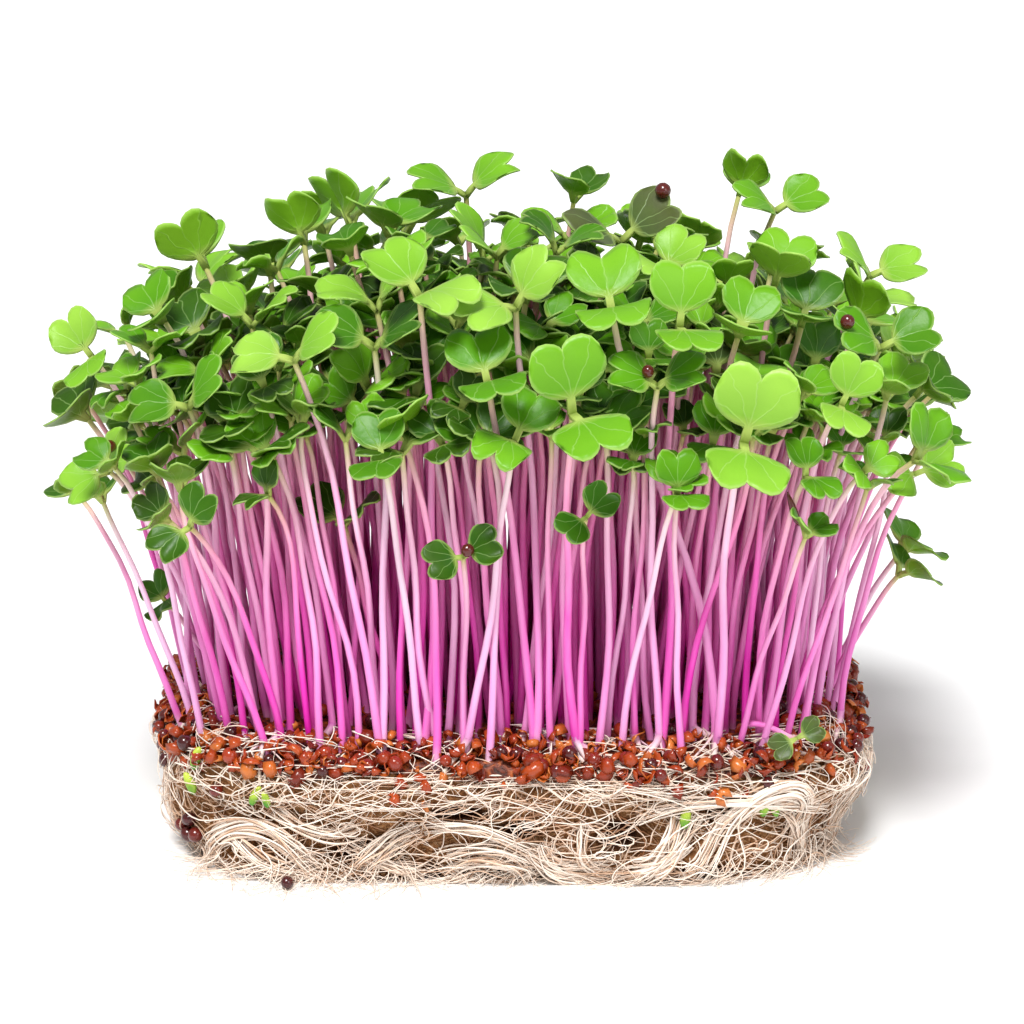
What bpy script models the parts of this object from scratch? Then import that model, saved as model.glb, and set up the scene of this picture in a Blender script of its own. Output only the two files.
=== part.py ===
"""A block of brassica microgreens, as it is lifted out of its growing tray and stood on a table.

A felted root mat carries a layer of spent seed hulls, and bunches of seedlings with notched seed leaves
stand in that layer. Metres, +Z up. The origin is the middle of the mat's flat underside.
"""

import math
import random

import bmesh
import bpy
from mathutils import Vector
from mathutils.bvhtree import BVHTree

# The root mat and the hull layer on it
MAT_WIDTH = 0.100
MAT_DEPTH = 0.070
MAT_HEIGHT = 0.0165
MAT_CORNER_POWER = 4.0
MAT_SIDES = 40
MAT_PROFILE = ((0.0, 0.90), (0.2, 0.93), (0.5, 0.95), (0.8, 0.985), (1.0, 0.95))  # height, reach
MAT_RELIEF = 0.018
BUNDLE_RADIUS = 0.0018
BUNDLE_POINTS = 6
FRONT_BUNDLES = (
    ((0.0243, 0.0008), (0.0370, 0.0250), (0.0400, 0.0020)),
    ((0.0168, 0.0008), (0.0215, 0.0045), (0.0238, 0.0105)),
    ((0.0030, 0.0060), (0.0060, 0.0005), (0.0140, 0.0010)),
    ((-0.0100, 0.0022), (-0.0020, 0.0080), (0.0033, 0.0012)),
    ((-0.0125, 0.0085), (-0.0200, 0.0050), (-0.0215, 0.0008)),
    ((-0.0420, 0.0010), (-0.0350, 0.0130), (-0.0270, 0.0015)),
)  # x and height of each bend
ROUND_BUNDLES = 8
BACK_FROM = -0.55
BACK_TO = 3.7
FIT_GAP = 0.0003
HULL_LAYER_REACH = 0.945
HULL_LAYER_SIDES = 32
HULL_LAYER_HEIGHT = 0.0026
SEED_COUNT = 48
SEED_RADIUS = 0.00135
SEED_GAP = 0.0006
HOLE_RADIUS = 0.0023
HOLE_SIDES = 5
HOLE_INSIDE = math.cos(math.pi / HOLE_SIDES)

# The seedlings
ROOT_RINGS = ((0.88, 19), (0.63, 14), (0.36, 8), (0.11, 3))  # reach, bunches
ROOT_JITTER = 0.0010
ROOT_SPACING = 0.0062
FAN_OUT = 1.19
CANOPY_HALF_WIDTH = 0.058
CANOPY_HALF_DEPTH = 0.046
CANOPY_POWER = 2.5
CROWN_TOP = 0.0850
CROWN_EDGE = 0.0650
STEM_RADIUS = 0.0007
STEM_POINTS = 5
LEAF_LENGTH = 0.0104
LEAF_WIDTH = 0.0106
LEAF_CUP = 0.16
LEAF_NOTCH = 0.70
PETIOLE_SHARE = 0.34
PETIOLE_WIDTH = 0.1  # a share of the leaf's width
WIDENING = 0.42
STEM_STOP = 0.0012
BLADE_THICKNESS = 0.00065

# How a seedling at the front holds its leaves: how far it nods to the front, the way it faces in degrees,
# and in degrees how its two leaves rise from the stem and how they spread at their tips
POSTURES = {
    "facing": (0.40, 90, (32, 74), (2, 42)),
    "fan": (-0.10, 250, (62, 74), (25, 40)),
    "flat": (0.20, 100, (50, 60), (-15, 12)),
    "tilted": (0.45, 20, (48, 55), (-5, 15)),
    "clover": (1.2, 50, (42, 44), (0, 6)),
}

# The bunches at the front and the top: the root, and the seedlings with their posture, crown and size
SHOWN_BUNCHES = (
    ((-0.0405, -0.0060), ("facing", (-0.0580, -0.005, 0.067), 0.72), ("flat", (-0.048, -0.010, 0.033), 0.50)),
    ((-0.0385, -0.0180), ("clover", (-0.0540, -0.022, 0.055), 0.65), ("tilted", (-0.0425, -0.028, 0.065), 0.80)),
    ((-0.0310, -0.0270), ("clover", (-0.0415, -0.040, 0.052), 0.60),),
    ((-0.0175, -0.0305), ("tilted", (-0.0280, -0.036, 0.073), 0.80), ("tilted", (-0.0200, -0.034, 0.076), 0.85)),
    ((-0.0120, -0.0305), ("flat", (-0.0145, -0.034, 0.080), 0.90), ("flat", (-0.0165, -0.042, 0.061), 0.68)),
    ((0.0030, -0.0305), ("flat", (-0.0030, -0.042, 0.071), 0.85), ("tilted", (0.0005, -0.036, 0.080), 0.85)),
    ((0.0090, -0.0305), ("facing", (0.0076, -0.045, 0.068), 1.00), ("clover", (0.0080, -0.042, 0.053), 0.50)),
    ((-0.0065, -0.0305), ("clover", (-0.0063, -0.040, 0.048), 0.55), ("flat", (-0.0014, -0.044, 0.064), 0.75)),
    ((0.0200, -0.0305), ("facing", (0.0212, -0.040, 0.078), 0.85), ("tilted", (0.0168, -0.042, 0.073), 0.70)),
    ((0.0275, -0.0295), ("facing", (0.0293, -0.044, 0.064), 1.08), ("flat", (0.0121, -0.038, 0.0775), 0.95)),
    ((0.0335, -0.0265), ("facing", (0.0423, -0.036, 0.067), 0.70), ("flat", (0.0378, -0.038, 0.058), 0.55)),
    ((0.0385, -0.0180), ("clover", (0.0535, -0.024, 0.055), 0.65), ("tilted", (0.0482, -0.028, 0.073), 0.78)),
    ((-0.0300, -0.0080), ("fan", (-0.0423, -0.002, 0.079), 0.88), ("fan", (-0.0288, 0.000, 0.082), 0.80)),
    ((-0.0200, -0.0120), ("fan", (-0.0239, 0.004, 0.084), 0.88),),
    ((0.0360, -0.0060), ("tilted", (0.0488, -0.008, 0.079), 0.75), ("fan", (0.0349, -0.020, 0.080), 0.82)),
    ((0.0280, 0.0120), ("fan", (0.0326, 0.018, 0.086), 0.68), ("tilted", (0.0372, 0.010, 0.085), 0.75)),
    ((-0.0060, 0.0120), ("tilted", (-0.0066, 0.018, 0.086), 0.88),),
    ((0.0120, 0.0000), ("tilted", (0.0150, -0.004, 0.083), 0.90),),
)

# The rule that keeps seedlings clear of each other
DRAW_SEED = 7
MOST_TRIES = 400
LOOSEST_SHIFT = 0.006
LOOSEST_TURN = 50
LEAF_MARGIN = 0.00055
STEM_MARGIN = 0.0003
JOINED_PART = 0.2

ROOT_LEVEL = MAT_HEIGHT + FIT_GAP
HULL_LAYER_TOP = ROOT_LEVEL + HULL_LAYER_HEIGHT

# Where the points of a blade lie: the share of its length, and of its half width
BLADE_RIM = ((0, -1), (0, 1), (0.58, 1), (1, 0.87), (1, 0.42), (1, 0), (1, -0.42), (1, -0.87), (0.58, -1))
BLADE_MIDDLE = (0.6, 0)


def outline(angle, half_width, half_depth, power):
    """A point of a rounded rectangle, at this angle round it."""
    c, s = math.cos(angle), math.sin(angle)
    reach = (abs(c) ** power + abs(s) ** power) ** (-1 / power)
    return half_width * c * reach, half_depth * s * reach


def crown_height(x, y):
    """The height of the domed canopy's stem tops over this place."""
    across = abs(x / CANOPY_HALF_WIDTH) ** CANOPY_POWER + abs(y / CANOPY_HALF_DEPTH) ** CANOPY_POWER
    share = min(1.0, across ** (2 / CANOPY_POWER))
    return CROWN_EDGE + (CROWN_TOP - CROWN_EDGE) * (1 - share)


class Seedling:
    """A stem from its root to its crown, and two notched seed leaves that open opposite ways."""

    def __init__(self, root, crown, sway, nod, heading, rises, spreads, size):
        self.root = root
        self.crown = crown
        chord = crown - root
        foot = Vector((chord.x * 0.15, chord.y * 0.15, chord.z * 0.35))
        self.up = (chord.normalized() + nod).normalized()
        self.bends = (root + foot + sway, crown - self.up * (0.25 * chord.length))
        level = Vector((math.cos(heading), math.sin(heading), 0))
        self.side = self.up.cross(level).normalized()
        self.out = self.side.cross(self.up)
        self.rises = rises
        self.spreads = spreads
        self.length = LEAF_LENGTH * size
        self.half_width = LEAF_WIDTH / 2 * size

    def stem_point(self, t):
        a, b = self.bends
        u = 1 - t
        return self.root * u**3 + a * (3 * u * u * t) + b * (3 * u * t * t) + self.crown * t**3

    def stays_in_hole(self):
        """Whether the stem leaves the hull layer inside its hole."""
        bend = self.bends[0] - self.root
        slope = bend.xy.length / bend.z
        return STEM_RADIUS + HULL_LAYER_HEIGHT * slope < HOLE_RADIUS * HOLE_INSIDE

    def blade_point(self, way, along, across, offset=0.0):
        """A point of one blade. way is 1 or -1, and offset is the distance off the blade's middle surface."""
        lobe = 2 * math.sqrt(abs(across) * (1 - abs(across)))
        short = 1 - min(1.0, max(0.0, (along - PETIOLE_SHARE) / WIDENING))
        flare = PETIOLE_WIDTH + (1 - PETIOLE_WIDTH) * math.sqrt(1 - short * short)
        flare *= 1 - 0.1 * max(0.0, (along - 0.75) / 0.25) ** 2
        reach = along * (LEAF_NOTCH + (1 - LEAF_NOTCH) * lobe)
        aside = across * flare * self.half_width
        rise = self.rises[way > 0]
        turn = self.spreads[way > 0] - rise
        angle = rise + turn * reach
        forward = self.length * (math.sin(angle) - math.sin(rise)) / turn
        upward = self.length * (math.cos(rise) - math.cos(angle)) / turn
        out = self.out * way
        normal = self.up * math.cos(angle) - out * math.sin(angle)
        lift = LEAF_CUP * aside * aside / self.half_width + offset
        return self.crown + out * forward + self.up * upward + self.side * aside + normal * lift

    def fold_point(self, across, offset):
        """A point where the two blades meet over the stem, this far above or below their middle surface."""
        return self.blade_point(1, 0, across).lerp(self.blade_point(-1, 0, across), 0.5) + self.up * offset


def blade_shell(seedling, way, margin):
    """The points and faces of a closed shell this far off both faces of a blade."""
    places = (*BLADE_RIM, BLADE_MIDDLE)
    count = len(BLADE_RIM)
    points = [seedling.blade_point(way, s, w, side * margin) for side in (1, -1) for s, w in places]
    faces = []
    for i in range(count):
        j = (i + 1) % count
        faces.append((i, j, count))
        faces.append((j + count + 1, i + count + 1, 2 * count + 1))
        faces.append((i, i + count + 1, j + count + 1, j))
    return points, faces


def stem_shell(seedling, margin):
    """The points and faces of a square tube round the stem, above where the stems of a bunch are joined."""
    radius = STEM_RADIUS + margin
    corners = [Vector((radius, 0, 0)), Vector((0, radius, 0)), Vector((-radius, 0, 0)), Vector((0, -radius, 0))]
    points, faces = [], []
    for k in range(STEM_POINTS):
        t = JOINED_PART + (1 - JOINED_PART) * k / (STEM_POINTS - 1)
        points += [seedling.stem_point(t) + corner for corner in corners]
        if k:
            first = 4 * (k - 1)
            faces += [(first + i, first + (i + 1) % 4, first + 4 + (i + 1) % 4, first + 4 + i) for i in range(4)]
    return points, faces


def room_of(seedling):
    """A search tree of the seedling and the clearance round it, with its bounding box."""
    points, faces = stem_shell(seedling, STEM_MARGIN)
    for way in (1, -1):
        more_points, more_faces = blade_shell(seedling, way, LEAF_MARGIN)
        faces += [tuple(i + len(points) for i in face) for face in more_faces]
        points += more_points
    low = [min(p[axis] for p in points) for axis in range(3)]
    high = [max(p[axis] for p in points) for axis in range(3)]
    return BVHTree.FromPolygons(points, faces), low, high


def meet(first, second):
    apart = any(first[1][axis] > second[2][axis] or second[1][axis] > first[2][axis] for axis in range(3))
    return not apart and bool(first[0].overlap(second[0]))


def draw_seedling(draw, root, lower):
    """A seedling of the upper or the lower storey of the canopy, rooted here."""
    angle = draw.uniform(0, math.tau)
    reach = draw.uniform(0.001, 0.006)
    x = root.x * FAN_OUT + reach * math.cos(angle)
    y = root.y * FAN_OUT + reach * math.sin(angle)
    drop = draw.uniform(0.006, 0.015) if lower else draw.uniform(-0.001, 0.005)
    size = draw.uniform(0.70, 0.95)
    if lower and draw.random() < 0.08:
        drop = draw.uniform(0.020, 0.032)
        size = draw.uniform(0.62, 0.75)
    crown = Vector((x, y, crown_height(x, y) - drop))
    most = 0.07 * (crown - root).length
    sway = Vector((draw.uniform(-most, most), draw.uniform(-most, most), 0))
    nod = Vector((x / CANOPY_HALF_WIDTH, y / CANOPY_HALF_DEPTH, 0)) * draw.uniform(0.0, 0.6)
    nod += Vector((draw.uniform(-0.25, 0.25), draw.uniform(-0.25, 0.25), 0))
    heading = draw.uniform(0, math.tau)
    rises = [math.radians(draw.uniform(45, 72)) for _ in range(2)]
    spreads = [math.radians(draw.uniform(-12, 30)) for _ in range(2)]
    return Seedling(root, crown, sway, nod, heading, rises, spreads, size)


def draw_shown(draw, root, posture, crown, size, late):
    """A seedling that is placed by hand. It may shift and turn the more, the later this try is."""
    nod, heading, rises, spreads = POSTURES[posture]
    shift = LOOSEST_SHIFT * late
    crown = Vector(crown) + Vector([draw.uniform(-shift, shift) for _ in range(3)])
    most = 0.05 * (crown - root).length
    sway = Vector((draw.uniform(-most, most), draw.uniform(-most, most), 0))
    turn = LOOSEST_TURN * (0.5 + 0.5 * late)
    heading = math.radians(heading + draw.uniform(-turn, turn))
    lean = Vector((0.4 * crown.x / CANOPY_HALF_WIDTH, -nod, 0))
    rises = [math.radians(rise + draw.uniform(-8, 8)) for rise in rises]
    spreads = [math.radians(spread + draw.uniform(-14, 14)) for spread in spreads]
    return Seedling(root, crown, sway, lean, heading, rises, spreads, size)


def fitting(drawn, rooms):
    """The first of these draws that stays in its hole and clear of all rooms so far, or None."""
    for seedling in drawn:
        room = room_of(seedling)
        if seedling.stays_in_hole() and not any(meet(room, other) for other in rooms):
            rooms.append(room)
            return seedling
    return None


def root_places(draw):
    """Places on rings for the bunches that aren't placed by hand, clear of the roots of those that are."""
    taken = [Vector(root) for root, *_ in SHOWN_BUNCHES]
    places = []
    for ring, (share, count) in enumerate(ROOT_RINGS):
        for k in range(count):
            angle = math.tau * (k + 0.5 * (ring % 2)) / count
            x, y = outline(angle, share * MAT_WIDTH / 2, share * MAT_DEPTH / 2, MAT_CORNER_POWER)
            place = Vector((x + draw.uniform(-ROOT_JITTER, ROOT_JITTER), y + draw.uniform(-ROOT_JITTER, ROOT_JITTER)))
            if all((place - other).length > ROOT_SPACING for other in taken):
                places.append(place)
    return places


def plan_bunches():
    """The bunches, each a list of seedlings that share a root. No two seedlings cross above the joined part."""
    draw = random.Random(DRAW_SEED)
    bunches, rooms = [], []
    for (x, y), *shown in SHOWN_BUNCHES:
        root = Vector((x, y, ROOT_LEVEL + FIT_GAP))
        bunch = []
        for posture, crown, size in shown:
            draws = (draw_shown(draw, root, posture, crown, size, k / MOST_TRIES) for k in range(MOST_TRIES))
            bunch.append(fitting(draws, rooms))
        if len(shown) == 1:
            bunch.append(fitting((draw_seedling(draw, root, True) for _ in range(MOST_TRIES)), rooms))
        bunches.append(bunch)
    for place in root_places(draw):
        root = Vector((*place, ROOT_LEVEL + FIT_GAP))
        bunch = []
        for lower in (False, True):
            bunch.append(fitting((draw_seedling(draw, root, lower) for _ in range(MOST_TRIES)), rooms))
        bunches.append(bunch)
    return [[seedling for seedling in bunch if seedling] for bunch in bunches]


def make_material(name, colour, roughness):
    material = bpy.data.materials.new(name)
    material.use_nodes = True
    shader = material.node_tree.nodes["Principled BSDF"]
    shader.inputs["Base Color"].default_value = (*colour, 1)
    shader.inputs["Roughness"].default_value = roughness
    shader.inputs["Metallic"].default_value = 0
    return material


def add_object(name, data, collection):
    made = bpy.data.objects.new(name, data)
    collection.objects.link(made)
    return made


def mesh_from(bm, name):
    bmesh.ops.recalc_face_normals(bm, faces=bm.faces)
    mesh = bpy.data.meshes.new(name)
    bm.to_mesh(mesh)
    bm.free()
    return mesh


def baked_mesh(source, name):
    """The object's evaluated mesh in world space, with a curve's loose caps welded on."""
    bpy.context.view_layer.update()
    graph = bpy.context.evaluated_depsgraph_get()
    mesh = bpy.data.meshes.new_from_object(source.evaluated_get(graph), depsgraph=graph)
    mesh.transform(source.matrix_world)
    bm = bmesh.new()
    bm.from_mesh(mesh)
    bmesh.ops.remove_doubles(bm, verts=bm.verts, dist=1e-6)
    bm.to_mesh(mesh)
    bm.free()
    mesh.name = name
    return mesh


def tube(name, points, radii, bevel_resolution, collection):
    """A tapered tube along these points, as a mesh object."""
    curve = bpy.data.curves.new(name, "CURVE")
    curve.dimensions = "3D"
    curve.bevel_depth = max(radii)
    curve.bevel_resolution = bevel_resolution
    curve.use_fill_caps = True
    spline = curve.splines.new("POLY")
    spline.points.add(len(points) - 1)
    for knot, point, radius in zip(spline.points, points, radii):
        knot.co = (*point, 1)
        knot.radius = radius / max(radii)
    guide = add_object(name + "_guide", curve, collection)
    made = add_object(name, baked_mesh(guide, name), collection)
    bpy.data.objects.remove(guide)
    return made


def combine(base, others, operation):
    """Applies one Boolean of a whole collection to the base object, and removes the collection's objects."""
    modifier = base.modifiers.new("combine", "BOOLEAN")
    modifier.operation = operation
    modifier.operand_type = "COLLECTION"
    modifier.collection = others
    mesh = baked_mesh(base, base.name)
    base.modifiers.clear()
    base.data = mesh
    for piece in list(others.objects):
        bpy.data.objects.remove(piece)


def finish(obj, material):
    obj.data.materials.clear()
    obj.data.materials.append(material)
    obj.data.shade_smooth()
    obj.data.set_sharp_from_angle(angle=math.radians(40))


def mat_outline(angle, height):
    """The side of the root mat at this share of its height, with its lumpy relief."""
    levels = [level for level, _ in MAT_PROFILE]
    above = next(i for i in range(1, len(levels)) if height <= levels[i])
    (low, near), (high, far) = MAT_PROFILE[above - 1], MAT_PROFILE[above]
    reach = near + (far - near) * (height - low) / (high - low)
    reach += MAT_RELIEF * (math.sin(5 * angle + 6 * height) + 0.7 * math.sin(11 * angle - 5 * height + 1.3))
    return outline(angle, reach * MAT_WIDTH / 2, reach * MAT_DEPTH / 2, MAT_CORNER_POWER)


def mat_place(angle, height):
    """A point on the mat's side, at this height in metres."""
    x, y = mat_outline(angle, height / MAT_HEIGHT)
    return x, y, height


def front_angle(x):
    """The angle at which the mat's front side reaches this x."""
    low, high = math.pi, math.tau
    for _ in range(30):
        middle = (low + high) / 2
        if mat_outline(middle, 0.5)[0] < x:
            low = middle
        else:
            high = middle
    return low


def bundle_routes():
    """The angle and height of each point of the root bundles: the front ones as placed, the rest as arches."""
    draw = random.Random(DRAW_SEED)
    shares = [i / (BUNDLE_POINTS - 1) for i in range(BUNDLE_POINTS)]
    routes = []
    for start, bend, end in FRONT_BUNDLES:
        route = []
        for t in shares:
            x, height = [a * (1 - t) ** 2 + 2 * b * t * (1 - t) + c * t * t for a, b, c in zip(start, bend, end)]
            route.append((front_angle(x), height))
        routes.append(route)
    for k in range(ROUND_BUNDLES):
        start = BACK_FROM + (BACK_TO - BACK_FROM) * k / ROUND_BUNDLES + draw.uniform(-0.1, 0.1)
        span = draw.uniform(0.35, 0.5)
        peak = draw.uniform(0.5, 0.8) * MAT_HEIGHT
        routes.append([(start + span * t, 0.002 + (peak - 0.002) * math.sin(math.pi * t)) for t in shares])
    return routes


def root_mat(collection, pieces, material):
    """The felted slab of roots, lofted through its uneven outlines, with thick root bundles arched over its sides."""
    bm = bmesh.new()
    rings = []
    for height, _ in MAT_PROFILE:
        places = [mat_outline(math.tau * k / MAT_SIDES, height) for k in range(MAT_SIDES)]
        rings.append([bm.verts.new((x, y, height * MAT_HEIGHT)) for x, y in places])
    for lower, upper in zip(rings, rings[1:]):
        for k in range(MAT_SIDES):
            after = (k + 1) % MAT_SIDES
            bm.faces.new((lower[k], lower[after], upper[after], upper[k]))
    bm.faces.new(rings[0])
    bm.faces.new(rings[-1])
    mat = add_object("root_mat", mesh_from(bm, "root_mat"), collection)
    shares = [i / (BUNDLE_POINTS - 1) for i in range(BUNDLE_POINTS)]
    radii = [BUNDLE_RADIUS * (0.55 + 0.45 * math.sin(math.pi * share)) for share in shares]
    for route in bundle_routes():
        heights = [max(height, radius + FIT_GAP) for (_, height), radius in zip(route, radii)]
        points = [Vector(mat_place(angle, height)) for (angle, _), height in zip(route, heights)]
        tube("root_bundle", points, radii, 1, pieces)
    combine(mat, pieces, "UNION")
    finish(mat, material)


def hull_layer(collection, pieces, roots, material):
    """The layer of spent seed hulls, with seeds standing half out of it and a plain hole for each bunch."""
    bm = bmesh.new()
    rings = []
    for reach, level in ((1, ROOT_LEVEL), (1, HULL_LAYER_TOP - 0.001), (0.965, HULL_LAYER_TOP)):
        half_width = reach * HULL_LAYER_REACH * MAT_WIDTH / 2
        half_depth = reach * HULL_LAYER_REACH * MAT_DEPTH / 2
        places = [
            outline(math.tau * k / HULL_LAYER_SIDES, half_width, half_depth, MAT_CORNER_POWER)
            for k in range(HULL_LAYER_SIDES)
        ]
        rings.append([bm.verts.new((x, y, level)) for x, y in places])
    for lower, upper in zip(rings, rings[1:]):
        for k in range(HULL_LAYER_SIDES):
            after = (k + 1) % HULL_LAYER_SIDES
            bm.faces.new((lower[k], lower[after], upper[after], upper[k]))
    bm.faces.new(rings[0])
    bm.faces.new(rings[-1])
    layer = add_object("seed_hull_layer", mesh_from(bm, "seed_hull_layer"), collection)
    for root in roots:
        bm = bmesh.new()
        bmesh.ops.create_cone(
            bm,
            cap_ends=True,
            segments=HOLE_SIDES,
            radius1=HOLE_RADIUS,
            radius2=HOLE_RADIUS,
            depth=4 * HULL_LAYER_HEIGHT,
        )
        cutter = add_object("root_hole", mesh_from(bm, "root_hole"), pieces)
        cutter.location = root
    combine(layer, pieces, "DIFFERENCE")
    for place, radius in seed_places(roots):
        bm = bmesh.new()
        bmesh.ops.create_icosphere(bm, subdivisions=1, radius=radius)
        seed = add_object("seed", mesh_from(bm, "seed"), pieces)
        seed.location = place
        seed.rotation_euler = (place.x * 900, place.y * 900, 0)
    combine(layer, pieces, "UNION")
    finish(layer, material)


def seed_places(roots):
    """Where whole seeds stand out of the hull layer: even over it, clear of the stems and of each other."""
    draw = random.Random(DRAW_SEED)
    placed = []
    while len(placed) < SEED_COUNT:
        reach = HULL_LAYER_REACH * math.sqrt(draw.uniform(0.0, 0.93))
        angle = draw.uniform(0, math.tau)
        x, y = outline(angle, reach * MAT_WIDTH / 2, reach * MAT_DEPTH / 2, MAT_CORNER_POWER)
        radius = SEED_RADIUS * draw.uniform(0.85, 1.15)
        place = Vector((x, y, HULL_LAYER_TOP + radius * 0.25))
        clear_of_roots = all((place - root).xy.length > HOLE_RADIUS + radius + SEED_GAP for root in roots)
        if clear_of_roots and all((place - other).length > 2.2 * SEED_RADIUS for other, _ in placed):
            placed.append((place, radius))
    return placed


def stem_rings(seedling, bm):
    """The square rings of a stem, turned so that two of their corners face the two leaves."""
    last = 1 - STEM_STOP / (seedling.crown - seedling.root).length
    rings = []
    for k in range(STEM_POINTS):
        share = k / (STEM_POINTS - 1)
        centre = seedling.stem_point(share * last)
        radius = STEM_RADIUS * (1.05 - 0.15 * share)
        spokes = (seedling.side * -radius, seedling.out * radius, seedling.side * radius, seedling.out * -radius)
        rings.append([bm.verts.new(centre + spoke) for spoke in spokes])
    return rings


def seedling_mesh(name, seedling):
    """One closed body: a stem that runs into the keel under two thin seed leaves."""
    bm = bmesh.new()
    half = BLADE_THICKNESS / 2
    upper_fold, under_fold = [
        [bm.verts.new(seedling.fold_point(across, offset)) for _, across in BLADE_RIM[:2]]
        for offset in (half, -half)
    ]
    under_middles = []
    for way in (1, -1):
        upper, under = [
            [bm.verts.new(seedling.blade_point(way, s, w, offset)) for s, w in (*BLADE_RIM[2:], BLADE_MIDDLE)]
            for offset in (half, -half)
        ]
        upper_rim, upper_middle = upper_fold + upper[:-1], upper[-1]
        under_rim, under_middle = under_fold + under[:-1], under[-1]
        bm.faces.new((*upper_fold, upper_middle))
        for k in range(1, len(BLADE_RIM)):
            after = (k + 1) % len(BLADE_RIM)
            bm.faces.new((upper_rim[k], upper_rim[after], upper_middle))
            bm.faces.new((under_rim[after], under_rim[k], under_middle))
            bm.faces.new((upper_rim[k], under_rim[k], under_rim[after]))
            bm.faces.new((upper_rim[k], under_rim[after], upper_rim[after]))
        under_middles.append(under_middle)
    rings = stem_rings(seedling, bm)
    keels = [under_fold[0], under_middles[0], under_fold[1], under_middles[1]]
    for lower, upper in zip(rings, [*rings[1:], keels]):
        for k in range(4):
            after = (k + 1) % 4
            bm.faces.new((lower[k], lower[after], upper[after], upper[k]))
    bm.faces.new(rings[0])
    return mesh_from(bm, name)


def seedling_bunch(name, bunch, collection, pieces, material):
    """Seedlings that grew from one root, fused where their stems are joined."""
    made = add_object(name, seedling_mesh(name, bunch[0]), collection)
    for seedling in bunch[1:]:
        add_object("seedling", seedling_mesh("seedling", seedling), pieces)
    if bunch[1:]:
        combine(made, pieces, "UNION")
    finish(made, material)


def main():
    for old in list(bpy.data.objects):
        bpy.data.objects.remove(old)
    collection = bpy.data.collections.new("microgreens_block")
    pieces = bpy.data.collections.new("cutters_and_pieces")
    bpy.context.scene.collection.children.link(collection)
    bpy.context.scene.collection.children.link(pieces)
    bunches = plan_bunches()
    roots = [bunch[0].root for bunch in bunches]
    root_mat(collection, pieces, make_material("roots", (0.72, 0.58, 0.42), 0.8))
    hull_layer(collection, pieces, roots, make_material("seed_hulls", (0.33, 0.07, 0.02), 0.35))
    seedling_material = make_material("seedlings", (0.16, 0.46, 0.04), 0.45)
    for number, bunch in enumerate(bunches, 1):
        seedling_bunch(f"seedling_bunch_{number:02d}", bunch, collection, pieces, seedling_material)


main()
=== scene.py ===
"""The finish of a block of brassica microgreens: root mat, seed hulls, stems and notched seed leaves.

Metres, +Z up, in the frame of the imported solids. The seedlings of the solids stand where they stand there,
drawn by the same rule, and many more stand between them.
"""

import math
import random

import bpy
import numpy as np
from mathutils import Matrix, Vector, noise
from mathutils.bvhtree import BVHTree


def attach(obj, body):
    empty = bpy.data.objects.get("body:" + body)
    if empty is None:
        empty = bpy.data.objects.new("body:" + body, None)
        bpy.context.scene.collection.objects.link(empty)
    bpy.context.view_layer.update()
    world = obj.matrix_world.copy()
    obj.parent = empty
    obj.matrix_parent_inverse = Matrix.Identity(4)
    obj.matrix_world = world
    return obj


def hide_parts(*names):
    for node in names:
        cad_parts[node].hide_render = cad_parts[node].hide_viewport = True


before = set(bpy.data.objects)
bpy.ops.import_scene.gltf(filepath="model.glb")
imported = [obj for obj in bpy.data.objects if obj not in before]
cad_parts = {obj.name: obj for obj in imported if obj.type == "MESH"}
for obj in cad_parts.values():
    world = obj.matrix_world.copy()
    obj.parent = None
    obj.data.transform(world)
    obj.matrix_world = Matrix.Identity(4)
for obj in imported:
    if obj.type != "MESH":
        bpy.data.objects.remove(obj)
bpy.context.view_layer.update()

# The root mat and the hull layer on it, as in the solids
MAT_WIDTH = 0.100
MAT_DEPTH = 0.070
MAT_HEIGHT = 0.0165
MAT_CORNER_POWER = 4.0
MAT_PROFILE = ((0.0, 0.90), (0.2, 0.93), (0.5, 0.95), (0.8, 0.985), (1.0, 0.95))  # height, reach
MAT_RELIEF = 0.018
BUNDLE_RADIUS = 0.0018
FRONT_BUNDLES = (
    ((0.0243, 0.0008), (0.0370, 0.0250), (0.0400, 0.0020)),
    ((0.0168, 0.0008), (0.0215, 0.0045), (0.0238, 0.0105)),
    ((0.0030, 0.0060), (0.0060, 0.0005), (0.0140, 0.0010)),
    ((-0.0100, 0.0022), (-0.0020, 0.0080), (0.0033, 0.0012)),
    ((-0.0125, 0.0085), (-0.0200, 0.0050), (-0.0215, 0.0008)),
    ((-0.0420, 0.0010), (-0.0350, 0.0130), (-0.0270, 0.0015)),
)  # x and height of each bend
ROUND_BUNDLES = 8
BACK_FROM = -0.55
BACK_TO = 3.7
FIT_GAP = 0.0003
HULL_LAYER_REACH = 0.945
HULL_LAYER_HEIGHT = 0.0026
HOLE_RADIUS = 0.0023
HOLE_SIDES = 5
HOLE_INSIDE = math.cos(math.pi / HOLE_SIDES)

# The seedlings, as in the solids
ROOT_RINGS = ((0.88, 19), (0.63, 14), (0.36, 8), (0.11, 3))  # reach, bunches
ROOT_JITTER = 0.0010
ROOT_SPACING = 0.0062
FAN_OUT = 1.19
CANOPY_HALF_WIDTH = 0.058
CANOPY_HALF_DEPTH = 0.046
CANOPY_POWER = 2.5
CROWN_TOP = 0.0850
CROWN_EDGE = 0.0650
STEM_RADIUS = 0.0007
STEM_POINTS = 5
LEAF_LENGTH = 0.0104
LEAF_WIDTH = 0.0106
LEAF_CUP = 0.16
LEAF_NOTCH = 0.70
PETIOLE_SHARE = 0.34
PETIOLE_WIDTH = 0.1  # a share of the leaf's width
WIDENING = 0.42

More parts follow.
